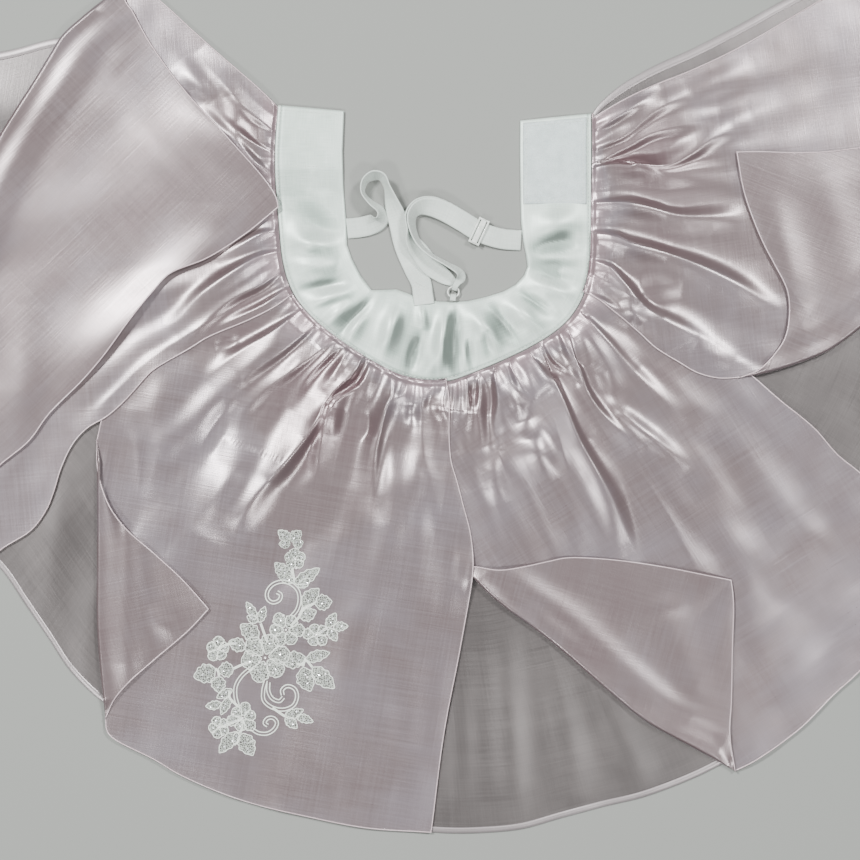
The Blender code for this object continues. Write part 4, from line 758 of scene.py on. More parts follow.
def crease_field(x, y):
    """Height of all creases, and how deep in a crease each place lies, as painted shade."""
    high, shade = np.zeros_like(x), np.zeros_like(x)
    for c in CREASES:
        line = evenly(smooth_line(c.rows), 18)
        best = np.full(x.shape, 1e9)
        signed, along = np.zeros_like(x), np.zeros_like(x)
        for k in range(len(line) - 1):
            (x0, y0), (x1, y1) = line[k], line[k + 1]
            ax, ay = x1 - x0, y1 - y0
            t = np.clip(((x - x0) * ax + (y - y0) * ay) / (ax * ax + ay * ay), 0, 1)
            away = np.hypot(x - x0 - t * ax, y - y0 - t * ay)
            turn = np.sign(ax * (y - y0) - ay * (x - x0))
            near = away < best
            best = np.where(near, away, best)
            signed = np.where(near, away * turn, signed)
            along = np.where(near, (k + t) / (len(line) - 1), along)
        n = signed * c.side
        taper = np.sin(math.pi * (0.25 + 0.75 * along)) ** 0.9
        gentle = c.gentle * (0.75 + 0.75 * along)
        steep = c.steep * (0.9 + 1.9 * along)
        fall = np.exp(-((n / np.where(n >= 0, gentle, steep)) ** 2))
        down = np.minimum(n, 0.0)
        drop = c.steep * (0.9 + 0.7 * along)
        dip = -down / (5.5 * drop) * np.exp(1.0 + down / (5.5 * drop))
        high += 0.85 * c.height * taper * (fall - 0.32 * dip)
        # Painted shade: the low side of each crease is darkened in the colour, most just
        # below the drop.
        deep = np.exp(down / (7.0 * drop)) * (1.0 - np.exp(down / (0.8 * steep)))
        shade += 0.85 * c.shade * taper * deep
    return high, shade


print(len(CREASES), "creases near the seam")

# %% [markdown]
# A panel is a four-sided patch: its gathered top on the seam, its two side
# edges and its outer edge. Threads run from the seam to the outer edge, so the
# patch is filled with lines that way and the gathers follow them.

# %% Patch between four edges
def patch(seam, outer, lead, trail, q):
    """Plan places of a grid between four edge lines, seam first."""
    n = len(seam)
    p = np.linspace(0.0, 1.0, n)[:, None, None]
    w = np.asarray(q)[None, :, None]
    ruled = seam[:, None] * (1 - w) + outer[:, None] * w
    sides = lead[None] * (1 - p) + trail[None] * p
    corners = (
        seam[0] * (1 - p) * (1 - w)
        + seam[-1] * p * (1 - w)
        + outer[0] * (1 - p) * w
        + outer[-1] * p * w
    )
    return ruled + sides - corners


def rows_from_seam(count, power=1.5):
    """Shares from the seam outward, closer together near the gathers."""
    return np.linspace(0.0, 1.0, count) ** power


def grid_faces(columns, rows, first=0):
    faces = []
    for i in range(columns - 1):
        for j in range(rows - 1):
            a = first + i * rows + j
            faces.append((a, a + rows, a + rows + 1, a + 1))
    return faces


print("patch helpers ready")

# %% [markdown]
# The underskirt is one wide layer of single organza below the panels. It shows
# at the left, at the bottom and at both outer ends, where the table shows
# through it. It lies on the table, with only a few soft ridges.

# %% Underskirt
UNDER_LONG = 345.0
UNDER_FULL = 3.3
UNDER_LEAD = [
    (-120.6, 92), (-172.5, 122), (-211.8, 138), (-250, 144), (-288, 144.8),
    (-334.2, 134), (-457.4, 123.2),
]
UNDER_HEM = [
    (-457.4, 123.2), (-468.9, 40), (-463, -50), (-431, -150), (-386, -214),
    (-334.2, -263.5), (-315.7, -290.3), (-296.8, -318), (-281.8, -340.7),
    (-259.5, -363.4), (-235.2, -380), (-196.4, -409), (-145.5, -429.7), (-100, -450),
    (-50, -461), (4.6, -467.4), (36.2, -467.4), (67.8, -464.3), (98.6, -455.8),
    (130, -447.4), (161.7, -439.7), (207, -422), (245, -401), (281.8, -376.5),
    (328, -332.6), (398, -250), (450, -150), (476, -40), (478, 70), (460, 170),
    (420.4, 258.7),
]
UNDER_TRAIL = [
    (420.4, 258.7), (345, 212), (270.3, 174), (235.6, 154.8), (199.4, 136.3),
    (170.2, 123.2), (144.8, 108.6), (127.8, 94), (121.8, 86),
]


def under_height(x, y):
    return 0.8 + np.maximum(0.0, 0.75 * ridges(UNDER_FOLDS, x, y))


def make_underskirt():
    columns, rows = 420, 90
    q = rows_from_seam(rows, 1.15)
    seam = seam_places(1.0, SEAM_LONG - 1.0, columns)
    outer = evenly(smooth_line(UNDER_HEM), columns)
    lead = at_shares(smooth_line(UNDER_LEAD), q)
    trail = at_shares(smooth_line(UNDER_TRAIL)[::-1], q)
    plan = patch(seam, outer, lead, trail, q)
    x, y = plan[..., 0], plan[..., 1]
    s = np.linspace(0.0, SEAM_LONG, columns)[:, None] + 0 * x
    d = q[None, :] * UNDER_LONG + 0 * x
    slack = 0.8 * np.clip(d / 120.0, 0, 1)
    low = under_height(x, y) + slack * (0.5 + 0.5 * cloud(s / 17.0, d / 130.0, 5.0))
    points = np.stack([x, y, low], axis=-1)
    uvs = np.stack([s * UNDER_FULL * MM, d * MM], axis=-1).reshape(-1, 2)
    faces = grid_faces(columns, rows)
    obj = put_mesh("underskirt_cloth", points.reshape(-1, 3), faces, uvs)
    set_tone_and_shade(obj, 0.10 + 0.5 * np.exp(-d / 40.0))
    return finish_piece(obj, UNDER_CLOTH, "underskirt"), points


underskirt, under_grid = make_underskirt()
under_tree = height_tree(underskirt)
made_area = sum(face.area for face in underskirt.data.polygons)
print("underskirt faces", len(underskirt.data.polygons), "area", round(made_area, 4))

# %% [markdown]
# The underskirt's outer edge is turned up and stitched, which shows as a line
# a few millimetres in and as slightly denser cloth outside it. A narrow strip
# laid on the edge is that turned allowance.

# %% Underskirt hem
HEM_LIFT = 0.45


def edge_strip(name, edge, inner, wide):
    """A narrow turned hem along an edge, made from the sheet's own lines."""
    inward = inner - edge
    inward /= np.maximum(1e-6, np.linalg.norm(inward, axis=1))[:, None]
    shares = np.array([-0.12, 0.0, 0.5, 0.92, 1.0])
    lifts = (-0.1, HEM_LIFT * 0.7, HEM_LIFT, HEM_LIFT, 0.0)
    lines = [edge + inward * wide * a + (0, 0, b) for a, b in zip(shares, lifts)]
    points = np.stack(lines, axis=1)
    length = along_of(edge) * MM
    uvs = np.stack(np.meshgrid(length, shares * wide * MM, indexing="ij"), axis=-1)
    faces = grid_faces(len(edge), len(shares))
    obj = put_mesh(name, points.reshape(-1, 3), faces, uvs.reshape(-1, 2))
    set_tone_and_shade(obj, np.full(points.shape[:2], 0.25))
    return finish_piece(obj, UNDER_HEM_CLOTH)


under_hems = [
    edge_strip("underskirt_hem", under_grid[:, -1], under_grid[:, -4], 4.2),
    edge_strip("underskirt_back_left_edge", under_grid[0], under_grid[6], 6.0),
    edge_strip("underskirt_back_right_edge", under_grid[-1], under_grid[-7], 6.0),
]
print("underskirt hemmed")

# %% [markdown]
# Each of the four panels has one corner turned back over itself, which shows
# its underside. The corner is the same sheet carried on past the fold: it rolls
# over a soft bend and then lies on whatever is below it, a little above. The
# height below is measured with rays, so the flap rests and never cuts in.

# %% Panel builder
PanelShape = namedtuple(
    "PanelShape",
    "name node start end lead fold hem trail flap_side flap_hem share bend grain",
)
COLUMNS, ROWS, FLAP_ROWS, ROLL_ROWS = 300, 150, 64, 7


def panel_base(x, y, s, d, creased):
    """Height of a first panel layer over the underskirt."""
    settle = np.clip(0.25 + d / 40.0, 0.0, 1.0)
    rise = 0.62 * ridges(FOLDS, x, y) * settle
    rise += creased * np.clip(0.3 + d / 20.0, 0.0, 1.0)
    rise += 1.25 * ridges(POCKETS, x, y) * np.clip(d / 12.0, 0.0, 1.0)
    soft = np.clip(d / 90.0, 0.0, 1.0)
    rise += 1.5 * soft * cloud(s / 12.0, d / 130.0, 7.0)
    rise += 0.35 * np.clip(d / 40.0, 0, 1) * cloud(x / 24.0, y / 24.0, 9.0)
    rise += 1.9 * (d / 22.0) * np.exp(1.0 - d / 22.0)
    rise = 1.4 + rise + gather_height(s, d)
    rise = np.where(rise > 0.6, rise, 0.6 * np.exp((rise - 0.6) / 0.6))
    return np.maximum(0.8, under_height(x, y)) + 1.5 + rise


def grown(values):
    """The highest value within two steps of each place of a grid."""
    wide = np.pad(values, 2, mode="edge")
    n, m = values.shape
    near = [wide[a : a + n, b : b + m] for a in range(5) for b in range(5)]
    return np.max(near, axis=0)


def draped(least, rounds):
    """A soft surface that is nowhere below this one."""
    high = least.copy()
    for _ in range(rounds):
        high = np.maximum(least, spread(high, 1))
    return high


def lifted(own, below, clear):
    """Raises a grid where it would cut what is below, with a soft run-out."""
    need = grown(np.maximum(0.0, below + clear - own))
    return own + spread(draped(need, 30), 2)


def flap_height(flap, ground, out, free, run):
    """Height of a turned-back corner over what lies below it."""
    x, y = flap[..., 0], flap[..., 1]
    roof = grown(ground) + 1.1
    inner = out * np.minimum(1.0, 4.0 * free)
    ripple = 0.6 + 0.6 * cloud(x / 60.0, y / 60.0, 12.0)
    ripple += 0.08 * cloud(x / 20.0, y / 20.0, 14.0)
    z = spread(draped(roof, 160), 60) + 0.35 + 1.8 * inner * np.maximum(0.0, ripple)
    z = spread(np.maximum(z, roof), 3)
    z += np.maximum(0.0, ridges(FLAP_FOLDS, x, y)) * inner
    swell = 2.6 * np.exp(-(((run - 19.0) / 12.0) ** 2))
    return z + swell * np.minimum(1.0, 5.0 * free)


def cloth_places(shape, body, tail, fold):
    """Places in the flat cloth, its turned-back corner folded out again."""
    axis = (fold[-1] - fold[0]) / np.linalg.norm(fold[-1] - fold[0])
    plan = tail[..., :2].copy()
    flat = plan[:, ROLL_ROWS:] - fold[0]
    plan[:, ROLL_ROWS:] = 2 * (flat @ axis)[..., None] * axis - flat + fold[0]
    plan = np.vstack([body[..., :2].reshape(-1, 2), plan.reshape(-1, 2)])
    grain = math.radians(shape.grain)
    c, sn = math.cos(grain), math.sin(grain)
    return np.column_stack([plan @ (-sn, c), plan @ (c, sn)]) * MM


def build_panel(shape, below):
    q = rows_from_seam(ROWS)
    seam = seam_places(shape.start, shape.end, COLUMNS)
    fold, hem = smooth_line(shape.fold), smooth_line(shape.hem)
    part = along_of(fold)[-1] / (along_of(fold)[-1] + along_of(hem)[-1])
    turn = int(round(part * (COLUMNS - 1)))
    fold = evenly(fold, turn + 1)
    inward = side_of(fold)
    ends = np.linspace(0, 1, turn + 1)
    free = np.minimum(ends, 1 - ends)
    bend = shape.bend * np.clip(free * 14.0, 0.02, 1.0)
    fold_in = fold + inward * bend[:, None]
    outer = np.vstack([fold_in, evenly(hem, COLUMNS - turn)[1:]])
    lead = at_shares(smooth_line(shape.lead), q)
    trail = at_shares(smooth_line(shape.trail)[::-1], q)
    lead[0], trail[0] = seam[0], seam[-1]
    lead[-1], trail[-1] = outer[0], outer[-1]
    plan = patch(seam, outer, lead, trail, q)
    x, y = plan[..., 0], plan[..., 1]
    s = np.linspace(shape.start, shape.end, COLUMNS)[:, None] + 0 * x
    d = np.hypot(x - seam[:, None, 0], y - seam[:, None, 1])
    creased, shade = crease_field(x, y)
    z = panel_base(x, y, s, d, creased)
    z = 2.0 + (z - 2.0) * (0.5 + 0.5 * np.clip(d / 3.0, 0.0, 1.0))
    if below:
        z = lifted(z, tops(below, x, y), 1.0)
    body = np.stack([x, y, z], axis=-1)
    body_faces = grid_faces(COLUMNS, ROWS)
    holder = put_mesh("body_probe", body.reshape(-1, 3), body_faces)
    own_tree = height_tree(holder)
    bpy.data.objects.remove(holder, do_unlink=True)

    tip = int(round(shape.share * turn))
    side = evenly(smooth_line(shape.flap_side), tip + 1)
    edge = np.vstack([side, evenly(smooth_line(shape.flap_hem), turn - tip + 1)[1:]])
    out = np.linspace(0.0, 1.0, FLAP_ROWS)[None, :]
    flap = fold_in[:, None] * (1 - out[..., None]) + edge[:, None] * out[..., None]
    run = out * np.linalg.norm(edge - fold_in, axis=1)[:, None]
    ground = tops([own_tree, under_tree, band_tree] + below, flap[..., 0], flap[..., 1])
    fz = flap_height(flap, ground, out, free[:, None], run)
    z0 = z[: turn + 1, -1]
    lift = np.maximum(fz[:, 0], z0 + 2.0 * bend) - fz[:, 0]
    fz = fz + lift[:, None] * np.exp(-run / 14.0)
    rolls = []
    for phi in np.radians(np.linspace(-75, 75, ROLL_ROWS)):
        place = fold_in - inward * (bend * math.cos(phi))[:, None]
        high = (z0 + fz[:, 0]) / 2 + (fz[:, 0] - z0) / 2 * math.sin(phi)
        rolls.append(np.column_stack([place, high]))
    tail = np.concatenate([np.stack(rolls, axis=1), np.dstack([flap, fz])], axis=1)

    first, more = COLUMNS * ROWS, tail.shape[1]
    faces = body_faces + grid_faces(turn + 1, more, first)
    for i in range(turn):
        a, b = (i + 1) * ROWS - 1, first + i * more
        faces.append((a, a + ROWS, b + more, b))
    points = np.vstack([body.reshape(-1, 3), tail.reshape(-1, 3)])
    obj = put_mesh(shape.name, points, faces, cloth_places(shape, body, tail, fold))
    # The tone holds the creases' painted shade, weaker near the seam; the blush near the
    # seam pulls it below zero.
    shade = np.clip(0.06 + 0.70 * shade * np.clip(0.4 + d / 25.0, 0.0, 1.0), 0.0, 1.0)
    shade -= 0.8 * np.exp(-((d / 24.0) ** 1.5)) * (1.0 - shade)
    set_tone_and_shade(obj, np.concatenate([shade.ravel(), np.full((turn + 1) * more, 0.2)]))
    tidy_mesh(obj)
    rim = np.vstack([body[0], tail[:, -1], body[turn:, -1], body[-1][::-1]])
    return finish_piece(obj, PANEL_CLOTH, shape.node), rim


print("panel builder ready")

# %% [markdown]
# The waistband is a satin facing over a stiffer strip, so it keeps its shape
# and only creases across where it is bent round the horseshoe. It is made as
# one closed sheet with rounded edges, its creases listed one by one.

# %% Waistband
BAND_DEEP = 55.0
STITCH_IN = 0.045
BAND_CREASES = [Fold(*row) for row in (
    (-48.5, -55.4, -74.7, -86.2, 4, -2.2), (-63.1, -57, -89.3, -80.1, 6, 1.8),
    (-55.4, -61.6, -68.5, -92.4, 5, 1.4), (-10.8, -84.7, -20, -115.5, 5, -2.2),
    (-27.7, -60.1, -40, -100.1, 7, 2.4), (16.2, -63.1, 17.7, -120.1, 4.2, -2.8),
    (9.2, -61.6, 3.1, -114, 5.4, 2.8), (25.4, -86.2, 30, -114, 3.2, -1.6),
    (26.2, -61.6, 52.4, -97, 7, 2.4), (41.6, -58.5, 72.4, -93.9, 5.5, -1.6),
    (54.7, -55.4, 86.2, -83.2, 6, 1.8), (64.7, -49.3, 97, -70.8, 4, -1.6),
    (71.6, -40, 108.6, -55.4, 6, 1.4), (73.9, -27.7, 115.5, -32.3, 5, -1.2),
    (-68.5, -43.1, -106.3, -49.3, 4, -1.4), (-75.5, -32.3, -110.9, -29.3, 6, 1.2),
    (-63.1, -49.3, -100.1, -61.6, 5, 1.6), (-64.7, -10.8, -114, -15.4, 7, 0.9),
    (-67.8, 43.1, -117, 47.7, 9, 0.5), (117, 0, 72.4, -10.8, 8, 0.8),
    (115.5, -15.4, 73.9, -20, 5, -0.9), (-10.8, -57, -7.7, -80.1, 4, 1.4),
    (38.5, -80.1, 44.7, -104.7, 4, -1), (-1.5, -95.5, -4.6, -117, 4, 1),
    (-70, -6, -112, 22, 8, -1.4), (-72, -24, -116, -4, 9, 1.8),
    (72, -18, 112, -8, 7, -1.6), (74, 0, 118, 8, 9, 1.6), (72, -34, 112, -44, 6, -1.6),
)]


def band_points(columns, shares):
    """Plan places along the band, at shares of the way to its inner edge."""
    outer = evenly(seam_line, columns)
    rows = np.array(BAND)
    known = along_of(rows[:, :2]) / along_of(rows[:, :2])[-1]
    want = np.linspace(0, 1, columns)
    inner = np.column_stack([np.interp(want, known, rows[:, k]) for k in (2, 3)])
    w = np.asarray(shares)[None, :, None]
    return outer[:, None] * (1 - w) + inner[:, None] * w


def band_rise(x, y, share):
    arch = np.sin(math.pi * share)
    rise = 2.1 * ridges(BAND_CREASES, x, y) * (0.3 + 0.7 * arch)
    rise += 2.6 * np.clip((20.0 - y) / 60.0, 0.0, 1.0) * arch**0.6
    rise += 0.5 * (1 + cloud(x / 14.0, y / 14.0, 21.0)) * arch
    over = np.where(x < 0, np.clip((y - 24.0) / 20.0, 0, 1), 0.0)
    return np.maximum(np.maximum(rise, 0.0), over * 1.6)


def make_band():
    columns = 300
    edge_shares = np.array([0.0, 0.008, 0.022])
    shares = [edge_shares, np.linspace(0.05, 0.95, 27), 1.0 - edge_shares[::-1]]
    shares = np.concatenate(shares)
    swell = np.sqrt(np.clip(np.minimum(shares, 1 - shares) / 0.022, 0, 1))
    plan = band_points(columns, shares)
    x, y = plan[..., 0], plan[..., 1]
    share = shares[None, :] + 0 * x
    rise = band_rise(x, y, share)
    quilt = 0.35 * np.exp(-(((share - STITCH_IN) / 0.018) ** 2))
    top = np.dstack([plan, rise + 1.15 + 0.95 * swell[None, :] - quilt])
    under = np.dstack([plan, rise + 0.05 + 0.55 * (1 - swell[None, :])])
    rows, count = len(shares), 2 * len(shares)
    points = np.concatenate([top, under[:, ::-1]], axis=1).reshape(-1, 3)
    faces = ring_faces(columns, count)
    for a in (0, (columns - 1) * count):
        for j in range(rows - 1):
            low = a + count - 1 - j
            faces.append((a + j, a + j + 1, low - 1, low))
    length = np.linspace(0, SEAM_LONG, columns) * MM
    deep = np.concatenate([shares, shares[::-1]]) * BAND_DEEP * MM
    uvs = np.stack(np.meshgrid(length, deep, indexing="ij"), axis=-1).reshape(-1, 2)
    obj = put_mesh("waistband_satin", points, faces, uvs)
    # Painted shade in the satin's colour: faces that fall away from the upper-left lamp,
    # the crease troughs and the topstitch groove are darkened.
    lean = (rise - band_rise(x - 1.6, y + 0.9, share)) / 1.8
    hollow = np.clip(-ridges(BAND_CREASES, x, y), 0.0, 3.0)
    band_painted_shade = np.clip(0.02 - 2.2 * lean + 0.28 * hollow, 0.0, 1.0)
    band_painted_shade *= np.sin(math.pi * share) ** 0.4
    band_painted_shade += 0.45 * np.exp(-(((share - STITCH_IN) / 0.012) ** 2))
    set_tone_and_shade(obj, np.concatenate([band_painted_shade, band_painted_shade[:, ::-1]], axis=1))
    tidy_mesh(obj, 0.00001, outward=True)
    return obj


waistband = make_band()
band_tree = height_tree(waistband)
print("waistband faces", len(waistband.data.polygons))

# %% [markdown]
# Now the four panels, lowest first, with their edges as the photograph shows
# them. What runs out of the picture is finished plainly with the same cloth.

# %% Panel outlines
FLAP_FOLDS = [Fold(*row) for row in (
    (-160, -4, -292, -132, 20, 4.4), (-316, -60, -322, -170, 15, 2.2),
    (-240, 84, -158, 2, 15, 2.2), (-270, 156, -236, 122, 15, 2.8),
    (-256, 110, -306, 40, 18, 1.8), (-246, -200, -222, -330, 10, 2),
    (-222, -296, -194, -316, 9, 2), (90, -280, 150, -330, 13, 1.8),
    (176, -292, 214, -392, 13, 3), (196, -290, 150, -300, 9, 1.6),
    (290, -90, 262, 20, 12, 2.4), (330, -60, 300, 40, 14, 2),
    (380, -20, 350, 60, 14, 2),
)]
FRONT_RIGHT = PanelShape(
    "panel_front_right_cloth", "panel_front_right", 272.0, 431.0,
    [(-9, -124), (-8, -160), (0, -200), (8, -235), (20, -262)],
    [(20, -262), (30.8, -271.8), (42.4, -283.4), (56.2, -294.9), (72.4, -306.5),
     (92.4, -321.9), (114.7, -341.1), (137.8, -361.1), (161.7, -380.4), (185.6, -394.2),
     (208.7, -406.6), (231.8, -419.7)],
    [(231.8, -419.7), (240.2, -415.8), (251, -409.6), (281.8, -387.3), (307.2, -361.9),
     (328, -342.7), (365, -299), (397, -254)],
    [(397, -254), (362, -219), (326.5, -188.7), (311.1, -176.3), (292.6, -155.5),
     (266.4, -134), (241, -112), (205, -86), (165, -62), (120, -40)],
    [(20, -262), (32, -262.4), (50, -264.9), (67.8, -262.6), (86.2, -258.7),
     (101.6, -255.6), (117.8, -255.6), (146.3, -258), (177.1, -262.6), (208.7, -268.7),
     (228.4, -272.6)],
    [(228.4, -272.6), (230.2, -288.8), (229.5, -328), (228.7, -367.3), (227.4, -391.2),
     (231.8, -419.7)],
    0.62, 2.4, -58.0,
)
FRONT_LEFT = PanelShape(
    "panel_front_left_cloth", "panel_front_left", 138.0, 289.0,
    [(-113, -43), (-150, -64), (-195, -88), (-230, -114), (-252, -138), (-259.8, -165)],
    [(-259.8, -165), (-259.5, -200), (-259.5, -249.5), (-259.5, -305), (-256.8, -342.7),
     (-253, -379)],
    [(-253, -379), (-251.8, -388.9), (-246.4, -395), (-214.8, -411.2), (-195.6, -422.7),
     (-149.4, -442), (-100, -454.5), (-50, -464), (-2.3, -467.1)],
    [(-2.3, -467.1), (7.7, -389.6), (20, -325.7), (29.3, -271), (30, -257.2),
     (27.7, -235.6), (22.3, -214.8), (17.7, -197.1), (13.1, -181), (11.6, -161.7),
     (11.6, -134), (9, -117)],
    [(-259.8, -165), (-259, -184.8), (-255.6, -201), (-248.7, -217.1), (-235.6, -234.1),
     (-214.8, -252.6), (-194, -271.8), (-173.5, -294.8)],
    [(-173.5, -294.8), (-188.7, -311.1), (-214.8, -333.4), (-235.6, -351.9),
     (-246.4, -365), (-253, -379)],
    0.58, 2.4, -100.0,
)
BACK_RIGHT = PanelShape(
    "panel_back_right_cloth", "panel_back_right", 420.0, 554.0,
    [(114.4, -50), (126.3, -56.2), (137.1, -64.7), (148.6, -73.9), (158.6, -82.4),
     (170.9, -93.7), (188.7, -104.7), (203.3, -113), (219.5, -117), (236, -116.4)],
    [(236, -116.4), (250, -114.4), (266.4, -110.3), (287.2, -103.2), (303.4, -96.3),
     (318, -86.5), (328, -78.8), (366, -46), (405, -6), (438, 30), (463, 62)],
    [(463, 62), (462, 110), (448, 166), (404, 234)],
    [(404, 234), (320, 187), (235.6, 137.8), (197.1, 119.4), (170.2, 108.6),
     (144.8, 96.3), (122, 83)],
    [(236, -116.4), (250, -110.8), (263.3, -97), (270.3, -85.5), (273.4, -67.8),
     (271.8, -50), (261.8, -29.3), (254.9, -16.2), (247.2, 1.5), (238.7, 26.2),
     (233, 56.8)],
    [(233, 56.8), (251.8, 57), (274.1, 56.2), (303.4, 57), (328, 60), (400, 66),
     (463, 62)],
    0.5, 3.0, 8.0,
)
BACK_LEFT = PanelShape(
    "panel_back_left_cloth", "panel_back_left", 1.5, 147.0,
    [(-120.4, 91.6), (-135.5, 106.3), (-164.8, 131.7), (-187.1, 151.7), (-211.8, 174),
     (-235.6, 190)],
    [(-235.6, 190), (-253.3, 175.5), (-272.6, 159.4), (-286.7, 146.3), (-297, 130.1),
     (-309.5, 109.3), (-322.6, 88.6), (-335.5, 68), (-362, 16), (-385, -52),
     (-400, -130), (-404, -200), (-398, -246)],
    [(-398, -246), (-384, -264), (-368.8, -281)],
    [(-368.8, -281), (-334.2, -249.5), (-310.3, -234.1), (-298.8, -218.7),
     (-293.4, -205.6), (-287.2, -185.6), (-278, -167.1), (-267.2, -155.5),
     (-251.8, -146.3), (-237.2, -133.2), (-224.1, -118.6), (-216.4, -110.9),
     (-188.7, -94.5), (-174, -85.5), (-142, -72), (-123.2, -62.4), (-110.5, -53.5)],
    [(-235.6, 190), (-237.9, 174), (-232.5, 165.6), (-225.6, 152.5), (-216.4, 137.1),
     (-192.5, 104.7), (-160.2, 69.3), (-127.8, 32.3), (-121.2, 20.9), (-119.8, 14.4)],
    [(-119.8, 14.4), (-127.8, 7.7), (-144, -5.4), (-174, -24.6), (-203.3, -37),
     (-215.6, -50), (-232.5, -70.8), (-254.1, -100.1), (-271, -119.4), (-296.5, -144.8),
     (-311.9, -165.6), (-334.2, -184), (-366, -214), (-398, -246)],
    0.42, 3.0, 185.0,
)
print("four panel outlines")

# %% Panels, lowest first
trees = {}
for shape, on in (
    (FRONT_RIGHT, []),
    (FRONT_LEFT, ["panel_front_right"]),
    (BACK_RIGHT, ["panel_front_right"]),
    (BACK_LEFT, ["panel_front_left"]),
):
    cloth, rim = build_panel(shape, [trees[name] for name in on])
    trees[shape.node] = height_tree(cloth)
    rolled = tube(shape.node + "_rolled_hem", rim, 0.55)
    set_tone_and_shade(rolled, np.full(len(rolled.data.vertices), 0.2))
    finish_piece(rolled, HEM_CLOTH)
    made_area = sum(face.area for face in cloth.data.polygons)
    print(cloth.name, len(cloth.data.polygons), "faces,", round(made_area, 4), "m2")

# %% [markdown]
# White satin is a tight weave whose long floating threads shine. It needs
# broad soft highlights and slightly green-grey shade, so its colour runs from
# shade to light with faint clouds, and a little metal in the shader gives the
# floats their gleam.

# %% Satin, elastic and pad finishes
def woven_white(name, low, high, rough, metal, bump_size, streaky):
    """An opaque pale woven cloth."""
    made, tree, shader = new_material(name, Metallic=metal, Sheen_Weight=0.15)
    cloth, tone_and_shade = cloth_nodes(tree)
    # The tone darkens the colour towards the darkest stop; on the waistband it is painted
    # shade.
    mixed = weighted(tree, (cloth["Clouds"], 0.6), (cloth["Weave"], 0.45), (tone_and_shade, -0.6))
    darkest = tuple(0.4 * part for part in low)
    colour = colour_ramp(tree, mixed, [(0.0, darkest), (0.30, low), (0.66, high)])
    tree.links.new(colour, shader.inputs["Base Color"])
    gloss = maths(tree, "MULTIPLY", cloth["Streaks"], 0.16)
    tree.links.new(maths(tree, "ADD", gloss, rough - 0.08), shader.inputs["Roughness"])
    height = weighted(tree, (cloth["Weave"], 1.0), (cloth["Streaks"], streaky))
    add_bump(tree, shader, height, 0.5, bump_size)
    return made


SATIN = woven_white(
    "white_satin", (0.30, 0.38, 0.34), (0.67, 0.765, 0.71), 0.42, 0.22, 0.00008, 0.6
)
ELASTIC = woven_white(
    "woven_elastic", (0.31, 0.36, 0.33), (0.60, 0.655, 0.62), 0.62, 0.0, 0.0008, 0.9
)
LACE_THREAD = woven_white(
    "lace_thread", (0.56, 0.60, 0.55), (0.80, 0.84, 0.78), 0.5, 0.05, 0.0004, 0.8
)


def placed_node(tree, kind, **inputs):
    """A texture node that reads places on the object."""
    made = node(tree, kind, **inputs)
    place = tree.nodes.new("ShaderNodeTexCoord")
    tree.links.new(place.outputs["Object"], made.inputs["Vector"])
    return made


def placed_noise(tree, scale, detail, rough=0.5):
    made = placed_node(
        tree, "ShaderNodeTexNoise", Scale=scale, Detail=detail, Roughness=rough
    )
    return made.outputs["Fac"]


def open_lace():
    """Embroidered filling: white threads round small gaps that let the cloth show through,
    the gaps darkened nearly black as painted shade.
    """
    made, tree, shader = new_material(
        "lace_filling", Roughness=0.5, Specular_IOR_Level=0.7
    )
    cells = placed_node(tree, "ShaderNodeTexVoronoi", Scale=620.0, Randomness=0.85)
    cells.feature = "DISTANCE_TO_EDGE"
    fuzz = placed_noise(tree, 900.0, 2.0, 0.7)
    gap = weighted(tree, (cells.outputs["Distance"], 1.9), (fuzz, 0.75))
    # Painted shade: the filling darkens from the thread colour to near black in the gaps.
    thread, shade, gap_shade = (0.62, 0.67, 0.61), (0.30, 0.325, 0.295), (0.09, 0.09, 0.085)
    colour = colour_ramp(tree, gap, [(0.32, thread), (0.54, shade), (0.80, gap_shade)])
    tree.links.new(colour, shader.inputs["Base Color"])
    veil = maths(tree, "MAXIMUM", maths(tree, "SUBTRACT", 1.55, gap), 0.4)
    tree.links.new(maths(tree, "MINIMUM", veil, 1.0), shader.inputs["Alpha"])
    add_bump(tree, shader, gap, 0.9, 0.0007).invert = True
    return made


def fuzzy_pad():
    """The loop half of touch fastening: brushed pile over a knitted ground."""
    made, tree, shader = new_material(
        "touch_fastening_pile", Roughness=0.95, Sheen_Weight=0.5
    )
    pile = placed_noise(tree, 1400.0, 3.0, 0.7)
    patches = placed_noise(tree, 160.0, 2.0, 0.6)
    mixed = weighted(tree, (pile, 0.7), (patches, 0.3))
    stops = [(0.36, (0.37, 0.44, 0.44)), (0.62, (0.58, 0.66, 0.66))]
    tree.links.new(colour_ramp(tree, mixed, stops), shader.inputs["Base Color"])
    add_bump(tree, shader, mixed, 0.8, 0.0006)
    return made


LACE_FILL = open_lace()
TOUCH_PILE = fuzzy_pad()
STITCH = plain_material("stitch_thread", (0.62, 0.66, 0.62), 0.5)
PEARL = plain_material("pearl_bead", (0.80, 0.80, 0.78), 0.18, Coat_Weight=0.6)
SEQUIN = plain_material("clear_sequin", (0.72, 0.74, 0.76), 0.16, Metallic=0.5)
PIPING = organza(
    "seam_piping", (0.30, 0.20, 0.22), (0.40, 0.30, 0.32),
    (0.48, 0.38, 0.40), 0.99, 0.45, 0.1,
)
finish_piece(waistband, SATIN, "waistband")
print("white finishes ready")

# %% [markdown]
# The seam between satin and organza is finished with a thin pink cord of
# rolled cloth, and the waistband is topstitched just inside its edge. Stitches
# repeat hundreds of times, so one stitch is only a few faces and each run of
# stitches is joined as one piece.

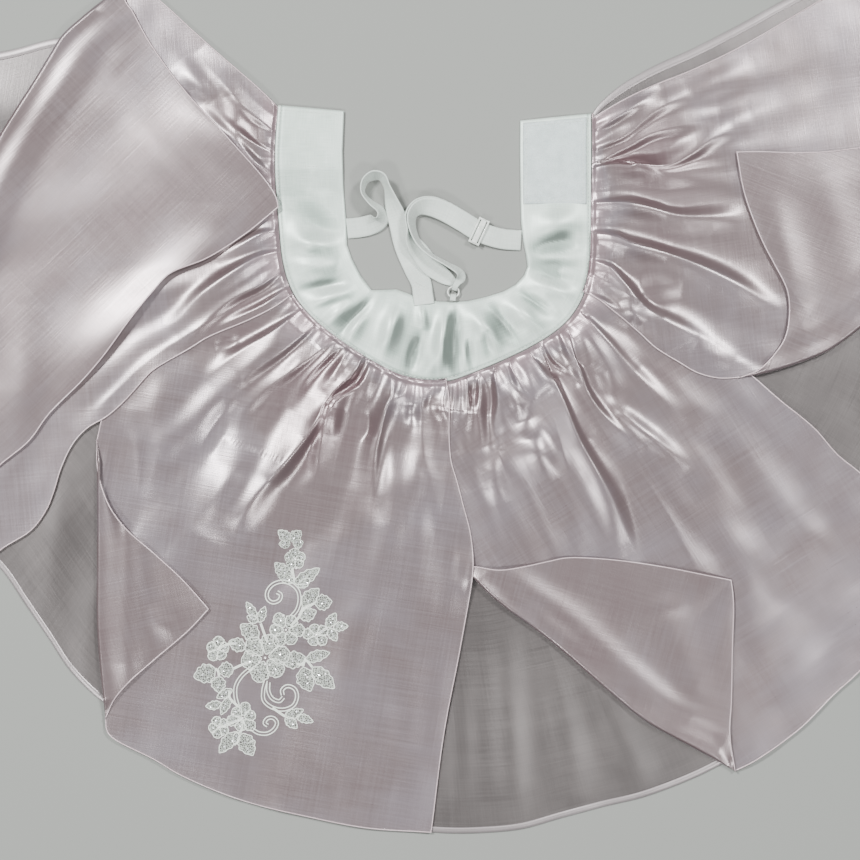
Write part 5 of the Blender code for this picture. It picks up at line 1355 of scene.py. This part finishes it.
# %% Piping and topstitching
def on_top(path, which, lift):
    """A plan line placed on the highest of some pieces."""
    path = np.asarray(path, float)
    high = tops(which, path[:, 0], path[:, 1])
    padded_high = np.pad(high, 2, mode="edge")
    high = np.max([padded_high[k : k + len(high)] for k in range(5)], axis=0)
    return np.column_stack([path[:, 0], path[:, 1], high + lift])


STITCH_FORM = ((-1, 0), (-0.6, 0.8), (0.6, 0.8), (1, 0), (0, -0.6))
STITCH_THICK = 0.24


def stitch_run(name, path, tree, long=2.3, gap=0.9):
    """A row of short stitches along a plan line, lying on the cloth."""
    path = np.asarray(path, float)
    total = along_of(path)[-1]
    count = max(2, int(total / (long + gap)))
    starts = np.arange(count) * (long + gap)
    at = np.concatenate([starts + long * share for share in (0.0, 0.2, 0.8, 1.0)]) / total
    spots = on_top(at_shares(path, np.minimum(at, 1.0)), [tree], 0.05)
    spots = spots.reshape(4, count, 3)
    points, faces = [], []
    for k in range(count):
        run = spots[:, k]
        step = run[-1] - run[0]
        side = np.array([-step[1], step[0], 0.0]) / max(1e-6, math.hypot(*step[:2]))
        first = len(points)
        for centre, swell in zip(run, (0.25, 1.0, 1.0, 0.25)):
            thick = STITCH_THICK * swell
            for a, b in STITCH_FORM:
                points.append(centre + side * a * thick + (0, 0, b * thick))
        for a in range(first, first + 15, 5):
            for j in range(5):
                m = (j + 1) % 5
                faces.append((a + j, a + m, a + 5 + m, a + 5 + j))
        faces.append(tuple(first + j for j in reversed(range(5))))
        faces.append(tuple(first + 15 + j for j in range(5)))
    obj = put_mesh(name, points, faces)
    tidy_mesh(obj, 0.000001, outward=True)
    return finish_piece(obj, STITCH)


PIPING_OUT, PIPING_HIGH, PIPING_THICK = 0.9, 2.2, 0.62
seam_edge = evenly(seam_line, 420)
seam_edge = seam_edge - side_of(seam_edge) * PIPING_OUT
cord_line = np.column_stack([seam_edge, np.full(len(seam_edge), PIPING_HIGH)])
piping = tube("seam_piping", cord_line, PIPING_THICK)
set_tone_and_shade(piping, np.full(len(piping.data.vertices), 0.2))
finish_piece(piping, PIPING)
ends = band_points(320, [0.04, 0.96])
outer_row = evenly(band_points(320, [STITCH_IN])[:, 0], 320)
stitch_run("topstitch_outer", outer_row, band_tree)
stitch_run("topstitch_left_end", evenly(ends[2], 40), band_tree)
stitch_run("topstitch_right_end", evenly(ends[-3], 40), band_tree)
patch_edge = evenly([(-120.0, 47.0), (-74.0, 45.5)], 40)
stitch_run("patch_stitch_left", patch_edge, band_tree)
print("band trimmed")

# %% [markdown]
# The soft half of the touch fastening is sewn on the right end, pile up. It is
# a thin pad: level inside its stitched border, with the border pulled down.

# %% Closure patches
def soft_patch(name, corners, low, node_name):
    """A closed pad over four corners, pulled down along its sewn border."""
    n = 44
    s = np.linspace(0.0, 1.0, n)
    c = np.array(corners, float)
    p, q = (grid[..., None] for grid in np.meshgrid(s, s, indexing="ij"))
    plan = c[0] * (1 - p) * (1 - q) + c[1] * p * (1 - q) + c[2] * p * q + c[3] * (1 - p) * q
    edge = np.minimum(np.minimum(p, 1 - p), np.minimum(q, 1 - q))[..., 0] * 50.0
    rise = np.sqrt(np.clip(edge / 0.9, 0.0, 1.0))
    rise -= 0.45 * np.exp(-(((edge - 2.6) / 0.8) ** 2))
    pile = cloud(plan[..., 0] / 2.2, plan[..., 1] / 2.2, 31.0)
    rise += 0.12 * pile * np.clip(edge / 4.0, 0, 1)
    top = np.dstack([plan, low + 0.02 + rise])
    bottom = np.dstack([plan, np.full((n, n), low)])
    points = np.concatenate([top.reshape(-1, 3), bottom.reshape(-1, 3)])
    faces = grid_faces(n, n)
    faces += [tuple(n * n + k for k in reversed(f)) for f in faces]
    ring = [*range(0, n * n, n), *range(n * n - n + 1, n * n)]
    ring += [*range(n * n - n - 1, 0, -n), *range(n - 2, 0, -1)]
    for a, b in zip(ring, ring[1:] + ring[:1]):
        faces.append((a, b, n * n + b, n * n + a))
    obj = put_mesh(name, points, faces, points[:, :2] * MM)
    tidy_mesh(obj, 0.000004, outward=True)
    return finish_piece(obj, TOUCH_PILE, node_name)


patch_right = soft_patch(
    "closure_pile_right",
    [(68.8, 17.0), (117.6, 17.0), (117.6, 84.0), (68.8, 79.6)],
    2.55, "closure_patch_right",
)
soft_patch(
    "closure_pile_left",
    [(-117.5, 46.5), (-73.5, 46.5), (-73.0, 86.5), (-117.0, 90.0)],
    0.02, "closure_patch_left",
)
border = [(71.4, 19.6), (115.0, 19.6), (115.0, 81.2), (71.4, 77.2), (71.4, 19.6)]
stitch_run(
    "patch_stitch_right", evenly(border, 300), height_tree(patch_right),
    1.9, 0.8,
)
print("closure patches sewn")

# %% [markdown]
# The shoulder straps are white woven elastic, about 15 mm wide, that twists
# and stands on edge where it loops. Each is one flat band swept along a smooth
# line, whose rows give its place, the direction of its width and its lean.

# %% Shoulder straps
ELASTIC_WIDE = 15.5
Ribbon = namedtuple("Ribbon", "x y z across lean width", defaults=(ELASTIC_WIDE,))


def width_way(row):
    """The direction in which the strap's width points."""
    a, lean = math.radians(row.across), math.radians(row.lean)
    flat = math.cos(lean)
    return np.array([math.cos(a) * flat, math.sin(a) * flat, math.sin(lean)])


def sweep_ribbon(name, rows, node_name, wall=1.1, step=0.7):
    """A closed elastic band swept through rows of place, width way and width."""
    dense = smooth_line([(r.x, r.y, r.z, *(30.0 * width_way(r)), r.width) for r in rows])
    along = along_of(dense[:, :3])
    count = int(along[-1] / step) + 1
    want = np.linspace(0, along[-1], count)
    line = np.column_stack([np.interp(want, along, dense[:, k]) for k in range(7)])
    place, wide, width = line[:, :3], line[:, 3:6], line[:, 6]
    tangent = unit(np.gradient(place, axis=0))
    wide = unit(wide - (wide * tangent).sum(axis=1)[:, None] * tangent)
    thick = np.cross(tangent, wide)
    across = np.linspace(-1.0, 1.0, 15)
    form = 1.0 - 0.5 * np.clip((np.abs(across) - 0.86) / 0.14, 0, 1) ** 2
    form -= 0.18 * np.exp(-(((np.abs(across) - 0.78) / 0.05) ** 2))
    loop = [*zip(across, form), *zip(across[::-1], -form[::-1])]
    ends = np.minimum(np.arange(count), np.arange(count)[::-1])
    half = wall / 2 * np.clip(0.4 + ends * 0.3, 0.0, 1.0)
    picot = 1.0 + 0.012 * np.sin(want * 2 * math.pi / 1.4)
    points, uvs = [], []
    for a, f in loop:
        reach = a * width / 2 * (picot if abs(a) == 1.0 else 1.0)
        points.append(place + wide * reach[:, None] + thick * (f * half)[:, None])
        uvs.append(np.column_stack([(a + 1) * width / 2 * MM, want * MM]))
    faces = swept_faces(count, len(loop))
    obj = put_mesh(name, ring_by_ring(points), faces, ring_by_ring(uvs))
    tidy_mesh(obj, 0.000002, outward=True)
    print(name, round(along[-1]), "mm long")
    return finish_piece(obj, ELASTIC, node_name)


LEFT_STRAP = [Ribbon(*row) for row in (
    (-67.2, -1.7, 1.1, 90, 0), (-57, -0.7, 1.6, 92, 0), (-47.5, 1.5, 3.8, 105, 18),
    (-40.5, 6.2, 8.2, 140, 60), (-41.6, 12.5, 9.2, 205, 66),
    (-48.5, 17.8, 9.4, 225, 74), (-54.6, 25.5, 9.2, 200, 80), (-53.4, 33.8, 9, 150, 76),
    (-46.6, 38.6, 9, 105, 68), (-39.6, 37, 9.2, 50, 70), (-36, 29.5, 9, 25, 72),
    (-32, 16.5, 7.4, 20, 45), (-27, 2, 4, 18, 12), (-22.5, -16, 1.8, 14, 0),
    (-15.6, -32, 1.4, 12, 0), (-9.8, -44, 1.6, 2, 0), (-8.6, -52, 3, -10, 0),
    (-7.4, -60.5, 4.4, -14, 0),
)]
RIGHT_STRAP = [Ribbon(*row) for row in (
    (67.2, -10.8, 1.3, 277, 0), (52, -9.6, 2.6, 266, 0), (34.7, -4.2, 4.6, 245, 0),
    (22, 3.4, 6.2, 240, -5), (8, 11, 8, 244, -14), (-3, 14.6, 9.2, 262, -28),
    (-12.5, 13, 9.6, 300, -50), (-17.2, 6.5, 9.4, 345, -64), (-16.4, -2.5, 9, 10, -70),
)]
RIGHT_DOWN = [Ribbon(*row) for row in (
    (-11.5, -13.5, 8.8, 35, -74), (-2.5, -22.3, 8.8, 55, -77), (9, -29, 8.6, 60, -76),
    (18.4, -34.6, 8, 45, -66, 13), (20.8, -40.2, 6.8, 5, -35, 8.5),
    (18.2, -43.6, 5.9, -20, -5, 5),
)]
RING_TURN = [Ribbon(*row) for row in (
    (16.4, -46.6, 5.6, -20, 0, 4), (15.5, -49.2, 3.5, -20, 0, 4),
    (16, -46.4, 1.3, -20, 0, 4),
)]
RIGHT_BACK = [Ribbon(*row) for row in (
    (13.6, -42.6, 1.5, 10, 0, 8), (6.5, -37.6, 1.8, 40, 0, 12.5),
    (-2.6, -30.7, 3.2, 44, -4, 15), (-10.5, -20.4, 4.6, 34, -20),
    (-17, -10.8, 7.4, 18, -50),
)]
TAB = [Ribbon(*row) for row in (
    (14.4, -57.1, 1, 0, 0, 4.4), (14.7, -54.9, 1.2, 0, 0, 4.4),
    (14.9, -52.6, 3.4, 0, 0, 4.4), (14.7, -54.9, 5.5, 0, 0, 4.4),
    (14.4, -57.6, 5.6, 0, 0, 4.4),
)]


def second_layer(rows, gap):
    """The strap doubled back just under or outside itself."""
    place = np.array([(r.x, r.y, r.z) for r in rows])
    back = []
    for r, p, t in zip(rows, place, unit(np.gradient(place, axis=0))):
        n = np.cross(t, width_way(r))
        x, y, z = p - gap * n / np.linalg.norm(n)
        back.append(Ribbon(x, y, z, r.across, r.lean, r.width))
    return back[::-1]


strap_left = sweep_ribbon("strap_left_elastic", LEFT_STRAP, "strap_left")
right_run = RIGHT_STRAP + RIGHT_DOWN + RING_TURN + RIGHT_BACK
right_run += second_layer(RIGHT_STRAP[2:], 2.0)
sweep_ribbon("strap_right_elastic", right_run, "strap_right")
sweep_ribbon("strap_tab_elastic", TAB, "strap_tab", 0.9, 0.4)
stitch_run(
    "strap_left_end_stitch", evenly([(-14.6, -43.0), (-4.6, -48.6)], 12),
    height_tree(strap_left), 1.6, 0.6,
)
print("straps laid")

# %% [markdown]
# The adjuster is a moulded plastic slide: two side bars, two end bars and a
# wider rounded bar between them, over which the elastic is looped. Each bar is
# a block at its size and place whose edges are rounded with a bevel, and the
# five are joined as one piece. The ring is a thin wire, a little out of round.

# %% Slider and ring
def moulded(name, low, high, cut):
    """White moulded plastic with faint flow marks."""
    made, tree, shader = new_material(name, Coat_Weight=0.2)
    flow = placed_noise(tree, cut, 2.0)
    colour = colour_ramp(tree, flow, [(0.3, low), (0.7, high)])
    tree.links.new(colour, shader.inputs["Base Color"])
    gloss = maths(tree, "ADD", maths(tree, "MULTIPLY", flow, 0.2), 0.2)
    tree.links.new(gloss, shader.inputs["Roughness"])
    return made


PLASTIC = moulded("white_plastic", (0.52, 0.56, 0.52), (0.66, 0.69, 0.66), 300.0)
SLIDER_PLACE = np.array([34.7, -4.2])
SLIDER_TURN = math.radians(155.0)
SLIDER_LONG_WAY = np.array([-math.sin(SLIDER_TURN), math.cos(SLIDER_TURN)])


def apply_all():
    bpy.ops.object.transform_apply(location=True, rotation=True, scale=True)


def edit_all():
    """Opens the active object for editing, all of it selected."""
    bpy.ops.object.mode_set(mode="EDIT")
    bpy.ops.mesh.select_all(action="SELECT")


def slider_bar(name, off, along, wide, long, low, high, rounding):
    """One bar of the slide, its edges rounded, at its place over the strap."""
    bpy.ops.mesh.primitive_cube_add(size=1.0, location=(0, 0, 0))
    bar = bpy.context.object
    bar.name = name
    edit_all()
    bpy.ops.transform.resize(value=(wide * MM, long * MM, (high - low) * MM))
    bpy.ops.mesh.bevel(offset=rounding * MM, segments=3, affect="EDGES")
    bpy.ops.transform.translate(value=(off * MM, 0, 0))
    bpy.ops.object.mode_set(mode="OBJECT")
    place = (SLIDER_PLACE - CENTRE + along * SLIDER_LONG_WAY) * MM
    bar.rotation_euler = (0, 0, SLIDER_TURN)
    bar.location = (place[0], place[1], (low + high) / 2 * MM)
    apply_all()
    return bar


slider = joined("strap_slide_adjuster", [
    slider_bar("bar_left", -3.7, 0.0, 1.5, 21.0, 0.6, 6.9, 0.5),
    slider_bar("bar_right", 3.7, 0.0, 1.5, 21.0, 0.6, 6.9, 0.5),
    slider_bar("bar_middle", 0.0, 0.0, 4.4, 19.4, 6.1, 7.7, 0.7),
    slider_bar("bar_end_a", 0.0, -9.6, 8.4, 1.5, 0.8, 6.6, 0.4),
    slider_bar("bar_end_b", 0.0, 9.6, 8.4, 1.5, 0.8, 6.6, 0.4),
])
bpy.ops.object.shade_smooth_by_angle(angle=math.radians(40))
finish_piece(slider, PLASTIC, "strap_slider")

RING_PLACE = np.array([14.9, -50.7])
RING_HIGH, RING_RADIUS, RING_WIRE = 3.4, 4.3, 0.6
ring_place = (*((RING_PLACE - CENTRE) * MM), RING_HIGH * MM)
bpy.ops.mesh.primitive_torus_add(
    major_radius=RING_RADIUS * MM, minor_radius=RING_WIRE * MM,
    major_segments=48, minor_segments=12, location=ring_place,
)
ring = bpy.context.object
ring.name = "strap_joining_ring"
edit_all()
bpy.ops.transform.resize(value=(1.0, 0.94, 1.0), center_override=ring_place)
bpy.ops.object.mode_set(mode="OBJECT")
apply_all()
bpy.ops.object.shade_smooth()
finish_piece(ring, PLASTIC, "strap_ring")
print("slider and ring placed")

# %% [markdown]
# The lace is a spray of corded flowers, leaves and scrolls, stitched to the
# front panel. Each petal and leaf is a small domed patch with a cord round it.
# They are laid out from their tips and widths, in the same loose
# arrangement as the real spray, and set down on the panel's own surface.

# %% Lace layout
Leaf = namedtuple("Leaf", "x0 y0 x1 y1 width")
Flower = namedtuple("Flower", "x y radius petals turn")
LEAVES = [Leaf(*row) for row in (
    (-110.5, -242.5, -120, -234.5, 7.9), (-110, -243, -102.5, -235, 8.4),
    (-111, -245, -119.5, -245, 6.4), (-108.5, -245, -101, -243.5, 7.4),
    (-110.5, -271, -122.5, -259.5, 10.2), (-107.5, -273.5, -119.5, -270, 6.4),
    (-107.5, -275, -88, -263.5, 9.4), (-104.5, -278, -95.5, -271.5, 6.4),
    (-101, -293.5, -88.5, -279, 10.7), (-91.5, -291, -78.5, -289, 11.7),
    (-104, -300.5, -90.5, -296.5, 10.2), (-82.5, -309, -75.5, -298, 7.2),
    (-77.5, -309.5, -66, -308, 6.9), (-80.5, -310, -75, -319.5, 7.2),
    (-138, -303.5, -144.5, -289.5, 6.4), (-134.5, -305.5, -130, -293, 6.1),
    (-135.5, -304.5, -144, -300.5, 5.9), (-135.5, -318, -149, -307, 12.3),
    (-145.5, -325.5, -158, -320, 10.2), (-115.5, -337, -99, -332, 12.8),
    (-99, -334.5, -80, -328.5, 8.4), (-101, -340, -95, -358.5, 13.3),
    (-93.5, -340, -76.5, -356, 12.3), (-168.5, -341, -185, -347.5, 14),
    (-154.5, -341, -166.5, -342.5, 11.2), (-165.5, -347, -165.5, -359.5, 10.7),
    (-155.5, -357, -167.5, -363.5, 6.4), (-164, -367.5, -176, -370, 6.6),
    (-157, -363, -164, -376.5, 6.6), (-115, -377.5, -100.5, -372.5, 7.2),
    (-106, -378, -93, -382, 6.4), (-114.5, -379, -105.5, -387, 7.4),
    (-150.5, -390, -165.5, -406, 10), (-148, -391, -139.5, -408, 12.8),
    (-152, -390, -153.5, -400, 5.1),
)]
FLOWERS = [Flower(*row) for row in (
    (-107, -256.5, 8.2, 5, 20), (-114, -311, 13.5, 6, 0), (-91, -315, 9.4, 5, 30),
    (-130, -332.5, 19.2, 6, 12), (-166.5, -326, 9.4, 5, 15),
    (-147.5, -379, 11.5, 6, 15), (-165.5, -386, 8.4, 5, 40),
)]
SCROLLS = [
    [(-110.5, -301.5), (-105.5, -295.5), (-103.5, -287.5), (-105, -280.5),
     (-110.5, -275.5), (-117.5, -274), (-124.5, -276.5), (-128.5, -282), (-128, -287.5),
     (-124, -290), (-119, -288), (-118, -284), (-121, -282)],
    [(-140.5, -340), (-148, -346.5), (-152.5, -354), (-153, -361.5), (-151, -370)],
    [(-129.5, -350), (-131.5, -358), (-131, -365.5), (-124.5, -371), (-115.5, -372.5),
     (-108, -369), (-105.5, -362), (-107.5, -356.5), (-113, -354.5), (-117, -357.5),
     (-116.5, -361.5)],
    [(-127.5, -351.5), (-127.5, -358.5), (-124.5, -364), (-119, -366), (-116, -363)],
    [(-141, -387), (-135.5, -390.5), (-128.5, -391), (-123, -387.5), (-121, -382.5),
     (-124, -379), (-128.5, -379.5), (-130.5, -383), (-128, -385)],
    [(-110.5, -249.5), (-109.5, -262), (-107.5, -273.5)],
    [(-133.5, -306), (-131, -313), (-128, -321)],
    [(-101, -293.5), (-103.5, -300.5), (-110.5, -308)],
    [(-92, -290.5), (-99, -294), (-104, -300)],
    [(-82.5, -309.5), (-87.5, -313), (-91, -315)],
    [(-99, -333), (-101, -337.5), (-106, -337.5)],
    [(-166.5, -326), (-158.5, -322), (-152, -321.5)],
    [(-154.5, -341), (-147, -337.5), (-139.5, -335)],
    [(-165.5, -347), (-166.5, -342.5), (-168.5, -341)],
    [(-151, -370), (-157.5, -363), (-157.5, -357.5)],
    [(-147.5, -379), (-157.5, -383.5), (-165.5, -386)],
    [(-147.5, -379), (-148, -386), (-149.5, -391)],
    [(-124.5, -371), (-119, -375), (-114.5, -378)],
    [(-101, -339.5), (-99, -334.5), (-93.5, -340)],
]
BEADS = [
    (-114, -311), (-130, -337.5), (-134.5, -336), (-126.5, -338), (-130, -332.5),
    (-139.5, -331), (-107, -256.5), (-106, -263.5), (-91, -315), (-166.5, -326),
    (-167, -333), (-162, -327), (-147.5, -379), (-154.5, -376), (-140, -375),
    (-165.5, -386), (-124, -344), (-97.5, -347.5), (-83.5, -345), (-109, -337.5),
    (-116, -300),
]
print(len(LEAVES), "leaves,", len(FLOWERS), "flowers,", len(SCROLLS), "cords")

# %% Petals, cords and beads
lace_ground = trees["panel_front_left"]
PETAL_ROWS, PETAL_COLUMNS = 29, 9


def petal(root, tip, width, blunt, seed):
    """A petal's patch in plan, its heights over the cloth, and its outline."""
    size = np.linalg.norm(tip - root)
    axis = (tip - root) / size
    side = np.array([-axis[1], axis[0]])
    bow = 0.05 * size * math.sin(seed * 1.7)
    s = np.linspace(0.0, 1.0, PETAL_ROWS)
    ends, swell = (1.35, 0.62) if blunt else (0.85, 0.8)
    half = width / 2 * np.sin(math.pi * s**ends) ** swell
    half *= 1.0 + 0.11 * np.sin(s * 24.0 + seed)
    arch = np.sin(math.pi * s)[:, None]
    spine = root + axis * (s * size)[:, None] + side * (bow * arch)
    t = np.linspace(-1.0, 1.0, PETAL_COLUMNS)[None]
    plan = spine[:, None] + side * (half[:, None] * t)[..., None]
    high = 0.45 * arch**0.5 * t**2 + 0.45 * np.exp(-((t / 0.18) ** 2)) + 0.10
    high = high + 0.20 * np.sin(math.pi * size / 1.1 * s[:, None] + 2.2 * np.abs(t))
    high = high * (1 - 0.85 * (np.abs(t) > 0.99))
    return plan, high, np.vstack([plan[:, 0], plan[::-1, -1]])


petal_points, petal_faces, petal_uvs, outline_runs = [], [], [], []


def add_petal(root, tip, width, blunt, seed, lift):
    plan, high, rim = petal(np.array(root), np.array(tip), width, blunt, seed)
    base = tops([lace_ground], plan[..., 0], plan[..., 1], 3.0)
    petal_faces.extend(grid_faces(PETAL_ROWS, PETAL_COLUMNS, len(petal_points)))
    petal_points.extend(np.dstack([plan, base + high + lift + 0.15]).reshape(-1, 3))
    petal_uvs.extend(plan.reshape(-1, 2) * MM)
    outline_runs.append((evenly(rim, 56), lift))


def round_flower(flower, share):
    """Places round a flower, each at a share of its radius."""
    for k in range(flower.petals):
        a = math.radians(flower.turn) + 2 * math.pi * k / flower.petals
        reach = share(k) * flower.radius
        yield flower.x + reach * math.cos(a), flower.y + reach * math.sin(a)


for number, leaf in enumerate(LEAVES):
    add_petal((leaf.x0, leaf.y0), (leaf.x1, leaf.y1), leaf.width, False, number, 0.0)
for number, flower in enumerate(FLOWERS):
    wide = 2.3 * flower.radius * math.sin(math.pi / flower.petals) * 0.63
    uneven = [1.0 + 0.1 * math.sin(3.1 * k + number) for k in range(flower.petals)]
    roots = round_flower(flower, lambda k: 0.14 * uneven[k])
    tips = round_flower(flower, lambda k: uneven[k])
    for k, (root, tip) in enumerate(zip(roots, tips)):
        add_petal(root, tip, wide, True, k + 2.3 * number, 0.25)
petals = put_mesh("lace_petals", petal_points, petal_faces, petal_uvs)
tidy_mesh(petals, 0.000002)
finish_piece(petals, LACE_FILL, "lace_applique")


def cord_mesh(name, runs, radius):
    """Many thin cords over the cloth, joined as one piece."""
    made = []
    for k, (path, lift) in enumerate(runs):
        placed = on_top(path, [lace_ground], 0.35 + lift)
        made.append(tube(f"{name}_{k}", placed, radius))
    return finish_piece(joined(name, made), LACE_THREAD)


outlines = cord_mesh("lace_outline_cords", outline_runs, 0.40)
scroll_runs = []
for rows in SCROLLS:
    line = smooth_line(rows)
    line = evenly(line, max(8, int(along_of(line)[-1] / 0.8)))
    off = side_of(line) * (1.15 if len(rows) > 4 else 0.5)
    scroll_runs += [(line + off, 0.1), (line - off, 0.1)]
scrolls = cord_mesh("lace_scroll_cords", scroll_runs, 0.52)
lace_faces = sum(len(piece.data.polygons) for piece in (petals, outlines, scrolls))
print("lace faces", lace_faces)

# %% Beads and sequins
BEAD_RADIUS, SEQUIN_RADIUS, SEQUIN_DISH = 1.05, 0.85, 0.12
lace_trees = [height_tree(petals), lace_ground]


def scatter(name, template, spots, lift, cloth):
    """A copy of the template at each plan place, every one with its own mesh."""
    spots = np.array(spots)
    high = tops(lace_trees, spots[:, 0], spots[:, 1]) + lift
    copies = []
    for k, spot in enumerate(np.column_stack([spots, high])):
        copy = template.copy()
        copy.data = template.data.copy()
        copy.name = f"{name}_{k}"
        bpy.context.scene.collection.objects.link(copy)
        copy.location = (spot - MIDDLE) * MM
        copy.rotation_euler = (0.28 * math.sin(2.4 * k), 0.28 * math.cos(3.7 * k), 0.0)
        copies.append(copy)
    bpy.data.objects.remove(template, do_unlink=True)
    made = joined(name, copies)
    apply_all()
    return finish_piece(made, cloth)


bpy.ops.mesh.primitive_uv_sphere_add(segments=10, ring_count=6, radius=BEAD_RADIUS * MM)
ball = bpy.context.object
edit_all()
bpy.ops.transform.resize(value=(1.0, 1.0, 0.86))
bpy.ops.object.mode_set(mode="OBJECT")
bpy.ops.object.shade_smooth()
scatter("lace_beads", ball, BEADS, 0.85, PEARL)

sprinkle = np.random.default_rng(5)
sequin_spots = []
for leaf in LEAVES:
    for share in (0.35, 0.65):
        x = leaf.x0 * (1 - share) + leaf.x1 * share + sprinkle.uniform(-1, 1)
        y = leaf.y0 * (1 - share) + leaf.y1 * share + sprinkle.uniform(-1, 1)
        sequin_spots.append((x, y))
for flower in FLOWERS:
    sequin_spots.extend(round_flower(flower, lambda k: 0.62))
bpy.ops.mesh.primitive_circle_add(
    vertices=10, radius=SEQUIN_RADIUS * MM, fill_type="NGON"
)
disc = bpy.context.object
edit_all()
bpy.ops.mesh.inset(thickness=0.4 * MM)
bpy.ops.transform.translate(value=(0, 0, -SEQUIN_DISH * MM))
bpy.ops.mesh.select_all(action="SELECT")
bpy.ops.mesh.extrude_region_move(
    TRANSFORM_OT_translate={"value": (0, 0, SEQUIN_DISH * MM)}
)
bpy.ops.mesh.select_all(action="SELECT")
bpy.ops.mesh.normals_make_consistent(inside=False)
bpy.ops.object.mode_set(mode="OBJECT")
scatter("lace_sequins", disc, sequin_spots, 0.2, SEQUIN)
print(len(BEADS), "beads,", len(sequin_spots), "sequins")
